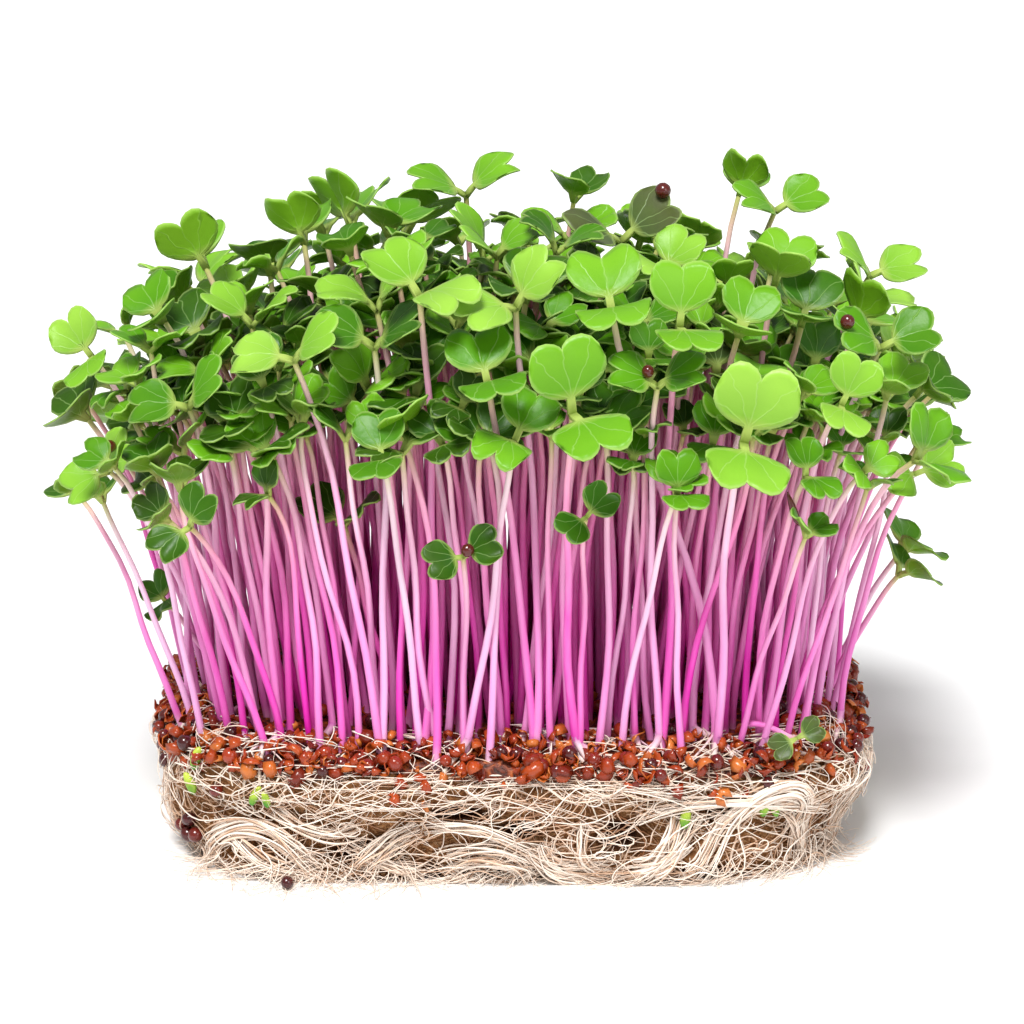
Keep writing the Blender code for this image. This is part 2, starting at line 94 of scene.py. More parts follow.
# How a seedling at the front holds its leaves: how far it nods to the front, the way it faces in degrees,
# and in degrees how its two leaves rise from the stem and how they spread at their tips
POSTURES = {
    "facing": (0.40, 90, (32, 74), (2, 42)),
    "fan": (-0.10, 250, (62, 74), (25, 40)),
    "flat": (0.20, 100, (50, 60), (-15, 12)),
    "tilted": (0.45, 20, (48, 55), (-5, 15)),
    "clover": (1.2, 50, (42, 44), (0, 6)),
}

# The bunches at the front and the top: the root, and the seedlings with their posture, crown and size
SHOWN_BUNCHES = (
    ((-0.0405, -0.006), ("facing", (-0.058, -0.005, 0.067), 0.72), ("flat", (-0.048, -0.010, 0.033), 0.50)),
    ((-0.0385, -0.018), ("clover", (-0.054, -0.022, 0.055), 0.65), ("tilted", (-0.0425, -0.028, 0.065), 0.8)),
    ((-0.0310, -0.0270), ("clover", (-0.0415, -0.040, 0.052), 0.60),),
    ((-0.0175, -0.0305), ("tilted", (-0.028, -0.036, 0.073), 0.80), ("tilted", (-0.02, -0.034, 0.076), 0.85)),
    ((-0.0120, -0.0305), ("flat", (-0.0145, -0.034, 0.080), 0.90), ("flat", (-0.0165, -0.042, 0.061), 0.68)),
    ((0.0030, -0.0305), ("flat", (-0.0030, -0.042, 0.071), 0.85), ("tilted", (0.0005, -0.036, 0.080), 0.85)),
    ((0.0090, -0.0305), ("facing", (0.0076, -0.045, 0.068), 1.00), ("clover", (0.0080, -0.042, 0.053), 0.50)),
    ((-0.0065, -0.0305), ("clover", (-0.0063, -0.04, 0.048), 0.55), ("flat", (-0.0014, -0.044, 0.064), 0.75)),
    ((0.0200, -0.0305), ("facing", (0.0212, -0.040, 0.078), 0.85), ("tilted", (0.0168, -0.042, 0.073), 0.70)),
    ((0.0275, -0.0295), ("facing", (0.0293, -0.044, 0.064), 1.08), ("flat", (0.0121, -0.038, 0.0775), 0.95)),
    ((0.0335, -0.0265), ("facing", (0.0423, -0.036, 0.067), 0.70), ("flat", (0.0378, -0.038, 0.058), 0.55)),
    ((0.0385, -0.0180), ("clover", (0.0535, -0.024, 0.055), 0.65), ("tilted", (0.0482, -0.028, 0.073), 0.78)),
    ((-0.0300, -0.0080), ("fan", (-0.0423, -0.002, 0.079), 0.88), ("fan", (-0.0288, 0.000, 0.082), 0.80)),
    ((-0.0200, -0.0120), ("fan", (-0.0239, 0.004, 0.084), 0.88),),
    ((0.0360, -0.0060), ("tilted", (0.0488, -0.008, 0.079), 0.75), ("fan", (0.0349, -0.020, 0.080), 0.82)),
    ((0.0280, 0.0120), ("fan", (0.0326, 0.018, 0.086), 0.68), ("tilted", (0.0372, 0.010, 0.085), 0.75)),
    ((-0.0060, 0.0120), ("tilted", (-0.0066, 0.018, 0.086), 0.88),),
    ((0.0120, 0.0000), ("tilted", (0.0150, -0.004, 0.083), 0.90),),
)

# How a stem bends: the level and upright shares of its chord at the foot, and the upright one at the neck
FOOT_LEAN = 0.15
FOOT_RISE = 0.35
NECK_RISE = 0.25

# The rule that keeps seedlings clear of each other
DRAW_SEED = 7
MOST_TRIES = 400
LOOSEST_SHIFT = 0.006
LOOSEST_TURN = 50
LEAF_MARGIN = 0.00055
STEM_MARGIN = 0.0003
JOINED_PART = 0.2

ROOT_LEVEL = MAT_HEIGHT + FIT_GAP
HULL_LAYER_TOP = ROOT_LEVEL + HULL_LAYER_HEIGHT

# Where the points of a blade lie: the share of its length, and of its half width
BLADE_RIM = ((0, -1), (0, 1), (0.58, 1), (1, 0.87), (1, 0.42), (1, 0), (1, -0.42), (1, -0.87), (0.58, -1))
BLADE_MIDDLE = (0.6, 0)

# The seedlings that only this scene has
ROOT_PITCH = 0.0031
ROOT_CLEARANCE = 0.0019
FEWER_TRIES = 50
LOWEST_DROP = 0.013
SMALLEST_SIZE = 0.52
LARGEST_SIZE = 0.84
FINE_LEAF_MARGIN = 0.00025
FINE_STEM_MARGIN = 0.00005
HIDDEN_REACH = 0.75
HIDDEN_DROP = 0.008


def outline(angle, half_width, half_depth, power):
    """A point of a rounded rectangle, at this angle round it."""
    c, s = math.cos(angle), math.sin(angle)
    reach = (abs(c) ** power + abs(s) ** power) ** (-1 / power)
    return half_width * c * reach, half_depth * s * reach


def canopy_share(x, y):
    """How far out this place lies under the canopy: 1 at its edge."""
    return abs(x / CANOPY_HALF_WIDTH) ** CANOPY_POWER + abs(y / CANOPY_HALF_DEPTH) ** CANOPY_POWER


def crown_height(x, y):
    """The height of the domed canopy's stem tops over this place."""
    share = min(1.0, canopy_share(x, y) ** (2 / CANOPY_POWER))
    return CROWN_EDGE + (CROWN_TOP - CROWN_EDGE) * (1 - share)


class Seedling:
    """A stem from its root to its crown, and two notched seed leaves that open opposite ways."""

    def __init__(self, root, crown, sway, nod, heading, rises, spreads, size):
        self.root = root
        self.crown = crown
        chord = crown - root
        foot = Vector((chord.x * FOOT_LEAN, chord.y * FOOT_LEAN, chord.z * FOOT_RISE))
        self.up = (chord.normalized() + nod).normalized()
        self.bends = (root + foot + sway, crown - self.up * (NECK_RISE * chord.length))
        level = Vector((math.cos(heading), math.sin(heading), 0))
        self.side = self.up.cross(level).normalized()
        self.out = self.side.cross(self.up)
        self.rises = rises
        self.spreads = spreads
        self.length = LEAF_LENGTH * size
        self.half_width = LEAF_WIDTH / 2 * size

    def stem_point(self, t):
        a, b = self.bends
        u = 1 - t
        return self.root * u**3 + a * (3 * u * u * t) + b * (3 * u * t * t) + self.crown * t**3

    def stays_in_hole(self):
        """Whether the stem leaves the hull layer inside its hole."""
        bend = self.bends[0] - self.root
        slope = bend.xy.length / bend.z
        return STEM_RADIUS + HULL_LAYER_HEIGHT * slope < HOLE_RADIUS * HOLE_INSIDE

    def blade_point(self, way, along, across, offset=0.0):
        """A point of one blade. way is 1 or -1, and offset is the distance off the blade's middle surface."""
        lobe = 2 * math.sqrt(abs(across) * (1 - abs(across)))
        short = 1 - min(1.0, max(0.0, (along - PETIOLE_SHARE) / WIDENING))
        flare = PETIOLE_WIDTH + (1 - PETIOLE_WIDTH) * math.sqrt(1 - short * short)
        flare *= 1 - 0.1 * max(0.0, (along - 0.75) / 0.25) ** 2
        reach = along * (LEAF_NOTCH + (1 - LEAF_NOTCH) * lobe)
        aside = across * flare * self.half_width
        rise = self.rises[way > 0]
        turn = self.spreads[way > 0] - rise
        angle = rise + turn * reach
        forward = self.length * (math.sin(angle) - math.sin(rise)) / turn
        upward = self.length * (math.cos(rise) - math.cos(angle)) / turn
        out = self.out * way
        normal = self.up * math.cos(angle) - out * math.sin(angle)
        lift = LEAF_CUP * aside * aside / self.half_width + offset
        return self.crown + out * forward + self.up * upward + self.side * aside + normal * lift


def blade_shell(seedling, way, margin):
    """The points and faces of a closed shell this far off both faces of a blade."""
    places = (*BLADE_RIM, BLADE_MIDDLE)
    count = len(BLADE_RIM)
    points = [seedling.blade_point(way, s, w, side * margin) for side in (1, -1) for s, w in places]
    faces = []
    for i in range(count):
        j = (i + 1) % count
        faces.append((i, j, count))
        faces.append((j + count + 1, i + count + 1, 2 * count + 1))
        faces.append((i, i + count + 1, j + count + 1, j))
    return points, faces


def stem_shell(seedling, margin):
    """The points and faces of a square tube round the stem, above where the stems of a bunch are joined."""
    radius = STEM_RADIUS + margin
    corners = [Vector((x * radius, y * radius, 0)) for x, y in ((1, 0), (0, 1), (-1, 0), (0, -1))]
    sides = [(i, (i + 1) % 4) for i in range(4)]
    points, faces = [], []
    for k in range(STEM_POINTS):
        t = JOINED_PART + (1 - JOINED_PART) * k / (STEM_POINTS - 1)
        points += [seedling.stem_point(t) + corner for corner in corners]
        if k:
            first = 4 * (k - 1)
            faces += [(first + i, first + j, first + 4 + j, first + 4 + i) for i, j in sides]
    return points, faces


def search_room(points, faces):
    """A search tree of these faces, with their bounding box."""
    low = [min(p[axis] for p in points) for axis in range(3)]
    high = [max(p[axis] for p in points) for axis in range(3)]
    return BVHTree.FromPolygons(points, faces), low, high


def room_of(seedling, leaf_margin=LEAF_MARGIN, stem_margin=STEM_MARGIN):
    """A search tree of the seedling and the clearance round it, with its bounding box."""
    points, faces = stem_shell(seedling, stem_margin)
    for way in (1, -1):
        more_points, more_faces = blade_shell(seedling, way, leaf_margin)
        faces += [tuple(i + len(points) for i in face) for face in more_faces]
        points += more_points
    return search_room(points, faces)


def stem_room(seedling):
    """A search tree of the stem alone, with its bounding box."""
    return search_room(*stem_shell(seedling, FINE_STEM_MARGIN))


class Rooms:
    """The rooms of all seedlings so far, with their boxes in arrays for a quick first test."""

    def __init__(self, most=2000):
        self.trees = []
        self.lows = np.zeros((most, 3))
        self.highs = np.zeros((most, 3))

    def add(self, room):
        self.lows[len(self.trees)] = room[1]
        self.highs[len(self.trees)] = room[2]
        self.trees.append(room[0])

    def meet(self, room):
        count = len(self.trees)
        near = (self.lows[:count] <= room[2]).all(axis=1) & (self.highs[:count] >= room[1]).all(axis=1)
        return any(room[0].overlap(self.trees[i]) for i in np.flatnonzero(near))


def level_draw(draw, most):
    """A level vector, drawn with both parts up to this size."""
    return Vector((draw.uniform(-most, most), draw.uniform(-most, most), 0))


def angle_pair(draw, low, high):
    """Two angles in radians, one for each leaf, drawn between these degrees."""
    return [math.radians(draw.uniform(low, high)) for _ in range(2)]


def draw_seedling(draw, root, lower):
    """A seedling of the upper or the lower storey of the canopy, rooted here."""
    angle = draw.uniform(0, math.tau)
    reach = draw.uniform(0.001, 0.006)
    x = root.x * FAN_OUT + reach * math.cos(angle)
    y = root.y * FAN_OUT + reach * math.sin(angle)
    drop = draw.uniform(0.006, 0.015) if lower else draw.uniform(-0.001, 0.005)
    size = draw.uniform(0.70, 0.95)
    if lower and draw.random() < 0.08:
        drop = draw.uniform(0.020, 0.032)
        size = draw.uniform(0.62, 0.75)
    crown = Vector((x, y, crown_height(x, y) - drop))
    sway = level_draw(draw, 0.07 * (crown - root).length)
    nod = Vector((x / CANOPY_HALF_WIDTH, y / CANOPY_HALF_DEPTH, 0)) * draw.uniform(0.0, 0.6)
    nod += level_draw(draw, 0.25)
    heading = draw.uniform(0, math.tau)
    rises = angle_pair(draw, 45, 72)
    spreads = angle_pair(draw, -12, 30)
    return Seedling(root, crown, sway, nod, heading, rises, spreads, size)


def draw_shown(draw, root, posture, crown, size, late):
    """A seedling at a listed place. It may shift and turn the more, the later this try is."""
    nod, heading, rises, spreads = POSTURES[posture]
    shift = LOOSEST_SHIFT * late
    crown = Vector(crown) + Vector([draw.uniform(-shift, shift) for _ in range(3)])
    sway = level_draw(draw, 0.05 * (crown - root).length)
    turn = LOOSEST_TURN * (0.5 + 0.5 * late)
    heading = math.radians(heading + draw.uniform(-turn, turn))
    lean = Vector((0.4 * crown.x / CANOPY_HALF_WIDTH, -nod, 0))
    rises = [math.radians(rise + draw.uniform(-8, 8)) for rise in rises]
    spreads = [math.radians(spread + draw.uniform(-14, 14)) for spread in spreads]
    return Seedling(root, crown, sway, lean, heading, rises, spreads, size)


def fitting(drawn, rooms):
    """The first of these draws that stays in its hole and clear of all rooms so far, or None."""
    for seedling in drawn:
        room = room_of(seedling)
        if seedling.stays_in_hole() and not rooms.meet(room):
            rooms.add(room)
            return seedling
    return None


def root_places(draw):
    """Places on rings for the bunches that aren't listed, clear of the roots of those that are."""
    taken = [Vector(root) for root, *_ in SHOWN_BUNCHES]
    places = []
    for ring, (share, count) in enumerate(ROOT_RINGS):
        for k in range(count):
            angle = math.tau * (k + 0.5 * (ring % 2)) / count
            x, y = outline(angle, share * MAT_WIDTH / 2, share * MAT_DEPTH / 2, MAT_CORNER_POWER)
            jitter = [draw.uniform(-ROOT_JITTER, ROOT_JITTER) for _ in range(2)]
            place = Vector((x + jitter[0], y + jitter[1]))
            if all((place - other).length > ROOT_SPACING for other in taken):
                places.append(place)
    return places


def plan_bunches(rooms):
    """The seedlings of the solids, by the same rule: those listed, and those drawn."""
    draw = random.Random(DRAW_SEED)
    shown_ones, drawn_ones = [], []
    for (x, y), *shown in SHOWN_BUNCHES:
        root = Vector((x, y, ROOT_LEVEL + FIT_GAP))
        for posture, crown, size in shown:
            draws = (draw_shown(draw, root, posture, crown, size, k / MOST_TRIES) for k in range(MOST_TRIES))
            shown_ones.append(fitting(draws, rooms))
        if len(shown) == 1:
            drawn_ones.append(fitting((draw_seedling(draw, root, True) for _ in range(MOST_TRIES)), rooms))
    for place in root_places(draw):
        root = Vector((*place, ROOT_LEVEL + FIT_GAP))
        for lower in (False, True):
            drawn_ones.append(fitting((draw_seedling(draw, root, lower) for _ in range(MOST_TRIES)), rooms))
    return shown_ones, drawn_ones


def between_places(draw, taken):
    """Places for further roots, on a shaken triangular grid over the hull layer, clear of the roots taken."""
    half_width = HULL_LAYER_REACH * MAT_WIDTH / 2 - STEM_RADIUS
    half_depth = HULL_LAYER_REACH * MAT_DEPTH / 2 - STEM_RADIUS
    row_step = ROOT_PITCH * math.sqrt(3) / 2
    rows = int(half_depth / row_step) + 1
    columns = int(half_width / ROOT_PITCH) + 1
    places = []
    for row in range(-rows, rows + 1):
        for column in range(-columns, columns + 1):
            x = (column + 0.5 * (row % 2)) * ROOT_PITCH + draw.uniform(-0.35, 0.35) * ROOT_PITCH
            y = row * row_step + draw.uniform(-0.35, 0.35) * ROOT_PITCH
            inside = abs(x / half_width) ** MAT_CORNER_POWER + abs(y / half_depth) ** MAT_CORNER_POWER < 1
            place = Vector((x, y, ROOT_LEVEL + FIT_GAP))
            if inside and all((place - other).length > ROOT_CLEARANCE for other in taken):
                places.append(place)
    draw.shuffle(places)
    return places


def draw_between(draw, root, late):
    """A seedling that stands between the others. late runs from 0 to 1 as the tries go on."""
    angle = draw.uniform(0, math.tau)
    reach = draw.uniform(0.0, 0.007)
    x = root.x * FAN_OUT + reach * math.cos(angle)
    y = root.y * FAN_OUT + reach * math.sin(angle)
    drop = draw.uniform(-0.003, 0.006) + LOWEST_DROP * late * draw.uniform(0.5, 1)
    size = draw.uniform(SMALLEST_SIZE, LARGEST_SIZE) * (1 - 0.2 * late)
    crown = Vector((x, y, crown_height(x, y) - drop))
    sway = level_draw(draw, 0.06 * (crown - root).length)
    nod = Vector((x / CANOPY_HALF_WIDTH, y / CANOPY_HALF_DEPTH, 0)) * draw.uniform(0.0, 0.75)
    nod += level_draw(draw, 0.3)
    heading = draw.uniform(0, math.tau)
    rises = angle_pair(draw, 42, 75)
    spreads = angle_pair(draw, -14, 36)
    return Seedling(root, crown, sway, nod, heading, rises, spreads, size)


def is_hidden(seedling):
    """Whether the leaves are deep inside the canopy, where they may touch others."""
    x, y, z = seedling.crown
    return canopy_share(x, y) < HIDDEN_REACH and crown_height(x, y) - z > HIDDEN_DROP


def plan_between(rooms, taken):
    """Further seedlings. Each stands as high as it fits, and is lower and smaller the longer that takes."""
    draw = random.Random(DRAW_SEED + 1)
    seedlings = []
    for root in between_places(draw, taken):
        for k in range(FEWER_TRIES):
            seedling = draw_between(draw, root, k / FEWER_TRIES)
            room = room_of(seedling, FINE_LEAF_MARGIN, FINE_STEM_MARGIN)
            tested = stem_room(seedling) if is_hidden(seedling) else room
            if not rooms.meet(tested):
                seedlings.append(seedling)
                rooms.add(room)
                break
    return seedlings


# Meshes from arrays


def new_object(name, data):
    """A new object with this data, in the scene."""
    made = bpy.data.objects.new(name, data)
    bpy.context.scene.collection.objects.link(made)
    return made


class Sheaf:
    """Points, quads and point values gathered for one mesh."""

    def __init__(self):
        self.points, self.quads, self.values = [], [], {}
        self.count = 0

    def add(self, points, quads, **values):
        """points is (N, 3), quads (M, 4), and each value one number or an array of one for each point."""
        points = np.asarray(points, float).reshape(-1, 3)
        self.points.append(points)
        self.quads.append(np.asarray(quads).reshape(-1, 4) + self.count)
        self.count += len(points)
        for name, value in values.items():
            value = np.broadcast_to(np.asarray(value, float).reshape(-1), (len(points),))
            self.values.setdefault(name, []).append(value)

    def build(self, name, material):
        """The mesh object, dressed and declared as a piece that rides on the block."""
        points = np.concatenate(self.points)
        quads = np.concatenate(self.quads)
        mesh = bpy.data.meshes.new(name)
        mesh.vertices.add(len(points))
        mesh.vertices.foreach_set("co", points.astype(np.float32).reshape(-1))
        mesh.loops.add(quads.size)
        mesh.loops.foreach_set("vertex_index", quads.astype(np.int32).reshape(-1))
        mesh.polygons.add(len(quads))
        mesh.polygons.foreach_set("loop_start", np.arange(0, quads.size, 4, dtype=np.int32))
        mesh.polygons.foreach_set("use_smooth", np.ones(len(quads), bool))
        for key, parts in self.values.items():
            attribute = mesh.attributes.new(key, "FLOAT", "POINT")
            attribute.data.foreach_set("value", np.concatenate(parts).astype(np.float32))
        mesh.update(calc_edges=True)
        mesh.materials.append(material)
        piece = new_object(name, mesh)
        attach(piece, "root")
        print("piece", name, "triangles", 2 * len(quads))
        return piece


def grid_quads(rows, columns, closed):
    """The quads of a grid of points, closed round its columns or open."""
    last = columns if closed else columns - 1
    row, column = np.meshgrid(np.arange(rows - 1), np.arange(last), indexing="ij")
    after = (column + 1) % columns
    first, second = row * columns, (row + 1) * columns
    corners = (first + column, first + after, second + after, second + column)
    return np.stack(corners, axis=-1).reshape(-1, 4)


def sheet_quads(rows, columns):
    """The quads of a closed thin sheet: an upper grid, a lower grid after it, and the rim between them."""
    upper = grid_quads(rows, columns, False)
    lower = upper[:, ::-1] + rows * columns
    rim = [(0, j) for j in range(columns)]
    rim += [(i, columns - 1) for i in range(1, rows)]
    rim += [(rows - 1, j) for j in range(columns - 2, -1, -1)]
    rim += [(i, 0) for i in range(rows - 2, 0, -1)]
    first = np.array([i * columns + j for i, j in rim])
    after = np.roll(first, -1)
    sides = np.stack([first, first + rows * columns, after + rows * columns, after], axis=-1)
    return np.concatenate([upper, lower, sides])


def many_quads(quads, count, size):
    """The quads of this many copies of one shape of this many points."""
    return (quads[None] + (np.arange(count) * size)[:, None, None]).reshape(-1, 4)


def unit(vectors):
    return vectors / np.maximum(np.linalg.norm(vectors, axis=-1, keepdims=True), 1e-12)


def tubes(paths, radii, sides):
    """Points and quads of tubes that don't twist. paths is (tubes, points, 3), radii (tubes, points)."""
    count, length = paths.shape[:2]
    tangents = unit(np.gradient(paths, axis=1))
    normal = np.cross(tangents[:, 0], (0.31, 0.52, 0.79))
    angles = math.tau * np.arange(sides) / sides
    rings = np.empty((count, length, sides, 3))
    for k in range(length):
        along = tangents[:, k]
        normal = unit(normal - along * (normal * along).sum(axis=-1, keepdims=True))
        other = np.cross(along, normal)
        spokes = np.cos(angles)[:, None] * normal[:, None] + np.sin(angles)[:, None] * other[:, None]
        rings[:, k] = paths[:, None, k] + spokes * radii[:, k, None, None]
    quads = many_quads(grid_quads(length, sides, True), count, length * sides)
    return rings.reshape(-1, 3), quads


def bezier(start, first, second, end, t):
    u = 1 - t
    return start * u**3 + first * 3 * u * u * t + second * 3 * u * t * t + end * t**3


def superellipse(angles):
    """How far the mat's rounded rectangle reaches at these angles, for half sizes of 1."""
    c, s = np.cos(angles), np.sin(angles)
    return (np.abs(c) ** MAT_CORNER_POWER + np.abs(s) ** MAT_CORNER_POWER) ** (-1 / MAT_CORNER_POWER)


def rows_of(vectors):
    return np.array([tuple(vector) for vector in vectors])


# Stems

STEM_RINGS = 13
STEM_SIDES = 7
STEM_FOOT = 0.00068
STEM_NECK = 0.00042
STEM_WOBBLE = 0.00028


def build_stems(seedlings, tones, material):
    """The stems, a little uneven, and thinner towards their crowns."""
    draw = np.random.default_rng(DRAW_SEED)
    count = len(seedlings)
    t = np.linspace(0, 1, STEM_RINGS)
    ends = [rows_of(getattr(s, name) for s in seedlings)[:, None] for name in ("root", "crown")]
    bends = [rows_of(s.bends[k] for s in seedlings)[:, None] for k in (0, 1)]
    paths = bezier(ends[0], bends[0], bends[1], ends[1], t[None, :, None])
    phases = draw.uniform(0, math.tau, (2, count, 1))
    turns = draw.uniform(7, 13, (count, 1))
    wobble = STEM_WOBBLE * np.sin(math.pi * t)[None] * np.sin(turns * t[None] + phases)
    paths[..., 0] += wobble[0]
    paths[..., 1] += wobble[1]
    sizes = np.array([s.half_width for s in seedlings]) / (LEAF_WIDTH / 2)
    taper = STEM_FOOT + (STEM_NECK - STEM_FOOT) * t**0.7
    radii = taper[None] * (0.55 + 0.45 * np.minimum(sizes, 1.0)[:, None])
    points, quads = tubes(paths, radii, STEM_SIDES)
    sheaf = Sheaf()
    along = np.broadcast_to(t[None, :, None], (count, STEM_RINGS, STEM_SIDES)).reshape(-1)
    sheaf.add(points, quads, along=along, tone=np.repeat(tones, STEM_RINGS * STEM_SIDES))
    return sheaf.build("stems", material)


# Seed leaves

FINE_ROWS = (0, 0.2, 0.34, 0.37, 0.42, 0.50, 0.62, 0.76, 0.90, 1.0)
FINE_COLUMNS = 15
PLAIN_ROWS = (0, 0.35, 0.43, 0.60, 0.84, 1.0)
PLAIN_COLUMNS = 11
PETIOLE_THICKNESS = 0.00066
LEAF_THICKNESS = 0.00024
LEAF_WAVE = 0.00055
WAVES_ACROSS = 5
FINE_WIDENING = 0.58
SHALLOW_NOTCHES = (0.75, 0.90)
SHOULDER = 0.13


def columns_across(count):
    """Where the columns of points lie across a blade: closer at its sides and at its notch."""
    half = np.linspace(0, math.pi, count // 2 + 1)
    right = (1 - np.cos(half)) / 2
    return np.concatenate([-right[:0:-1], right])


def blade_points(blades, rows, columns, thickness):
    """Points of many blades at once, by the rule of Seedling.blade_point, with a wave and rounder lobes."""
    s = rows[None, :, None]
    w = columns[None, None, :]
    keys = ("rise", "turn", "length", "half_width", "notch", "wave", "phase")
    rise, turn, length, half, notch, wave, phase = [blades[key][:, None, None] for key in keys]
    lobe = (4 * np.abs(w) * (1 - np.abs(w))) ** 0.6
    short = 1 - np.clip((s - PETIOLE_SHARE) / FINE_WIDENING, 0, 1)
    flare = PETIOLE_WIDTH + (1 - PETIOLE_WIDTH) * (1 - short * short) ** 0.62
    flare = flare * (1 - 0.08 * np.maximum(0, (s - 0.75) / 0.25) ** 2)
    notch = notch - SHOULDER * np.abs(w)
    reach = s * (notch + (1 - notch) * lobe)
    aside = w * flare * half
    angle = rise + turn * reach
    forward = length * (np.sin(angle) - np.sin(rise)) / turn
    upward = length * (np.cos(rise) - np.cos(angle)) / turn
    waves = wave * np.sin(WAVES_ACROSS * w + phase) * s * s
    lift = LEAF_CUP * aside * aside / half + waves + thickness[None, :, None] / 2
    crown, out, up, side = [blades[key][:, None, None, :] for key in ("crown", "out", "up", "side")]
    normal = up * np.cos(angle)[..., None] - out * np.sin(angle)[..., None]
    points = crown + out * forward[..., None] + up * upward[..., None] + side * aside[..., None]
    return points + normal * lift[..., None], reach + 0 * aside, aside / half


def blade_arrays(seedlings, tones, ages):
    """One row for each blade: where it starts, how it opens, and its tone and age."""
    draw = random.Random(DRAW_SEED + 2)
    rows = []
    for seedling, tone, age in zip(seedlings, tones, ages):
        for way in (1, -1):
            rise = seedling.rises[way > 0]
            rows.append({
                "crown": tuple(seedling.crown),
                "out": tuple(seedling.out * way),
                "up": tuple(seedling.up),
                "side": tuple(seedling.side),
                "rise": rise,
                "turn": seedling.spreads[way > 0] - rise,
                "length": seedling.length,
                "half_width": seedling.half_width,
                "wave": draw.uniform(0.0, LEAF_WAVE),
                "phase": draw.uniform(0, math.tau),
                "notch": draw.uniform(*SHALLOW_NOTCHES),
                "tone": min(1, max(0, tone + draw.uniform(-0.1, 0.1))),
                "age": age,
            })
    return {key: np.array([row[key] for row in rows], float) for key in rows[0]}


def build_leaves(name, blades, rows, columns, material):
    rows = np.array(rows)
    columns = columns_across(columns)
    thickness = PETIOLE_THICKNESS + (LEAF_THICKNESS - PETIOLE_THICKNESS) * np.clip((rows - 0.3) / 0.2, 0, 1)
    faces = [blade_points(blades, rows, columns, side * thickness) for side in (1, -1)]
    points, along, across = [np.stack([face[k] for face in faces], axis=1) for k in range(3)]
    count, size = len(points), points[0].size // 3
    s = np.broadcast_to(rows[None, None, :, None], along.shape)
    w = np.broadcast_to(np.abs(columns)[None, None, None, :], along.shape)
    face = np.broadcast_to(np.array([1.0, 0.0])[None, :, None, None], along.shape)
    sheaf = Sheaf()
    sheaf.add(
        points,
        many_quads(sheet_quads(len(rows), len(columns)), count, size),
        along=along,
        across=across,
        edge=np.maximum(s, np.where(s > PETIOLE_SHARE, w, 0)),
        face=face,
        tone=np.repeat(blades["tone"], size),
        age=np.repeat(blades["age"], size),
    )
    return sheaf.build(name, material)


# The root mat

MAT_STEPS_ROUND = 420
MAT_STEPS_UP = 26
MAT_STEPS_IN = 8
FELT_LUMP = 0.0010
FELT_LUMPS = 380  # in a metre
FELT_DEPTH = 0.0006
POCKET_DEPTH = 0.0032
LOWEST = 0.00015
FRONT_POCKETS = (
    (-0.0220, 0.0042, 0.0038, 0.0015),
    (-0.0070, 0.0100, 0.0046, 0.0012),
    (0.0012, 0.0078, 0.0030, 0.0016),
    (0.0142, 0.0066, 0.0030, 0.0026),
    (0.0290, 0.0096, 0.0022, 0.0012),
    (-0.0050, 0.0008, 0.0075, 0.0012),
    (0.0260, 0.0010, 0.0050, 0.0010),
)  # x, height, half width, half height
POCKETS_ROUND = 16
POCKET_RANGES = ((0.003, 0.010), (0.002, 0.004), (0.001, 0.0018))  # height, half width, half height


def mat_places(angles, heights):
    """Points on the mat's side, with its lumpy relief, for arrays of angles and heights in metres."""
    shares = np.clip(heights / MAT_HEIGHT, 0, 1)
    levels, reaches = zip(*MAT_PROFILE)
    relief = np.sin(5 * angles + 6 * shares) + 0.7 * np.sin(11 * angles - 5 * shares + 1.3)
    reach = (np.interp(shares, levels, reaches) + MAT_RELIEF * relief) * superellipse(angles)
    across, back = MAT_WIDTH / 2 * np.cos(angles), MAT_DEPTH / 2 * np.sin(angles)
    return np.stack(np.broadcast_arrays(reach * across, reach * back, heights), axis=-1)


def mat_place(angle, height):
    """One point on the mat's side."""
    return mat_places(np.array(angle), np.array(height))


def mat_normals(angles):
    """The level directions out of the mat's side."""
    step = 0.01
    along = mat_places(angles + step, 0 * angles) - mat_places(angles - step, 0 * angles)
    return unit(np.stack([along[..., 1], -along[..., 0], 0 * angles], axis=-1))


def off_side(angle, height, stand):
    """A point this far off the mat's side."""
    return mat_place(angle, height) + stand * mat_normals(np.array(angle))


def angle_of(x, y):
    """The angle round the mat at which this place lies."""
    return math.atan2(y / MAT_DEPTH, x / MAT_WIDTH)


def front_angle(x):
    """The angle at which the mat's front side reaches this x."""
    low, high = math.pi, math.tau
    for _ in range(30):
        middle = (low + high) / 2
        if mat_place(middle, MAT_HEIGHT / 2)[0] < x:
            low = middle
        else:
            high = middle
    return low


def bundle_routes(points, front_bundles):
    """Angle and height of each point of the root bundles: the front ones as placed, the rest arches."""
    draw = random.Random(DRAW_SEED)
    shares = [i / (points - 1) for i in range(points)]
    routes = []
    for start, bend, end in front_bundles:
        route = []
        for t in shares:
            parts = zip(start, bend, end)
            x, height = [a * (1 - t) ** 2 + 2 * b * t * (1 - t) + c * t * t for a, b, c in parts]
            route.append((front_angle(x), height))
        routes.append(route)
    for k in range(ROUND_BUNDLES):
        start = BACK_FROM + (BACK_TO - BACK_FROM) * k / ROUND_BUNDLES + draw.uniform(-0.1, 0.1)
        span = draw.uniform(0.35, 0.5)
        peak = draw.uniform(0.5, 0.8) * MAT_HEIGHT
        routes.append([(start + span * t, 0.002 + (peak - 0.002) * math.sin(math.pi * t)) for t in shares])
    return routes


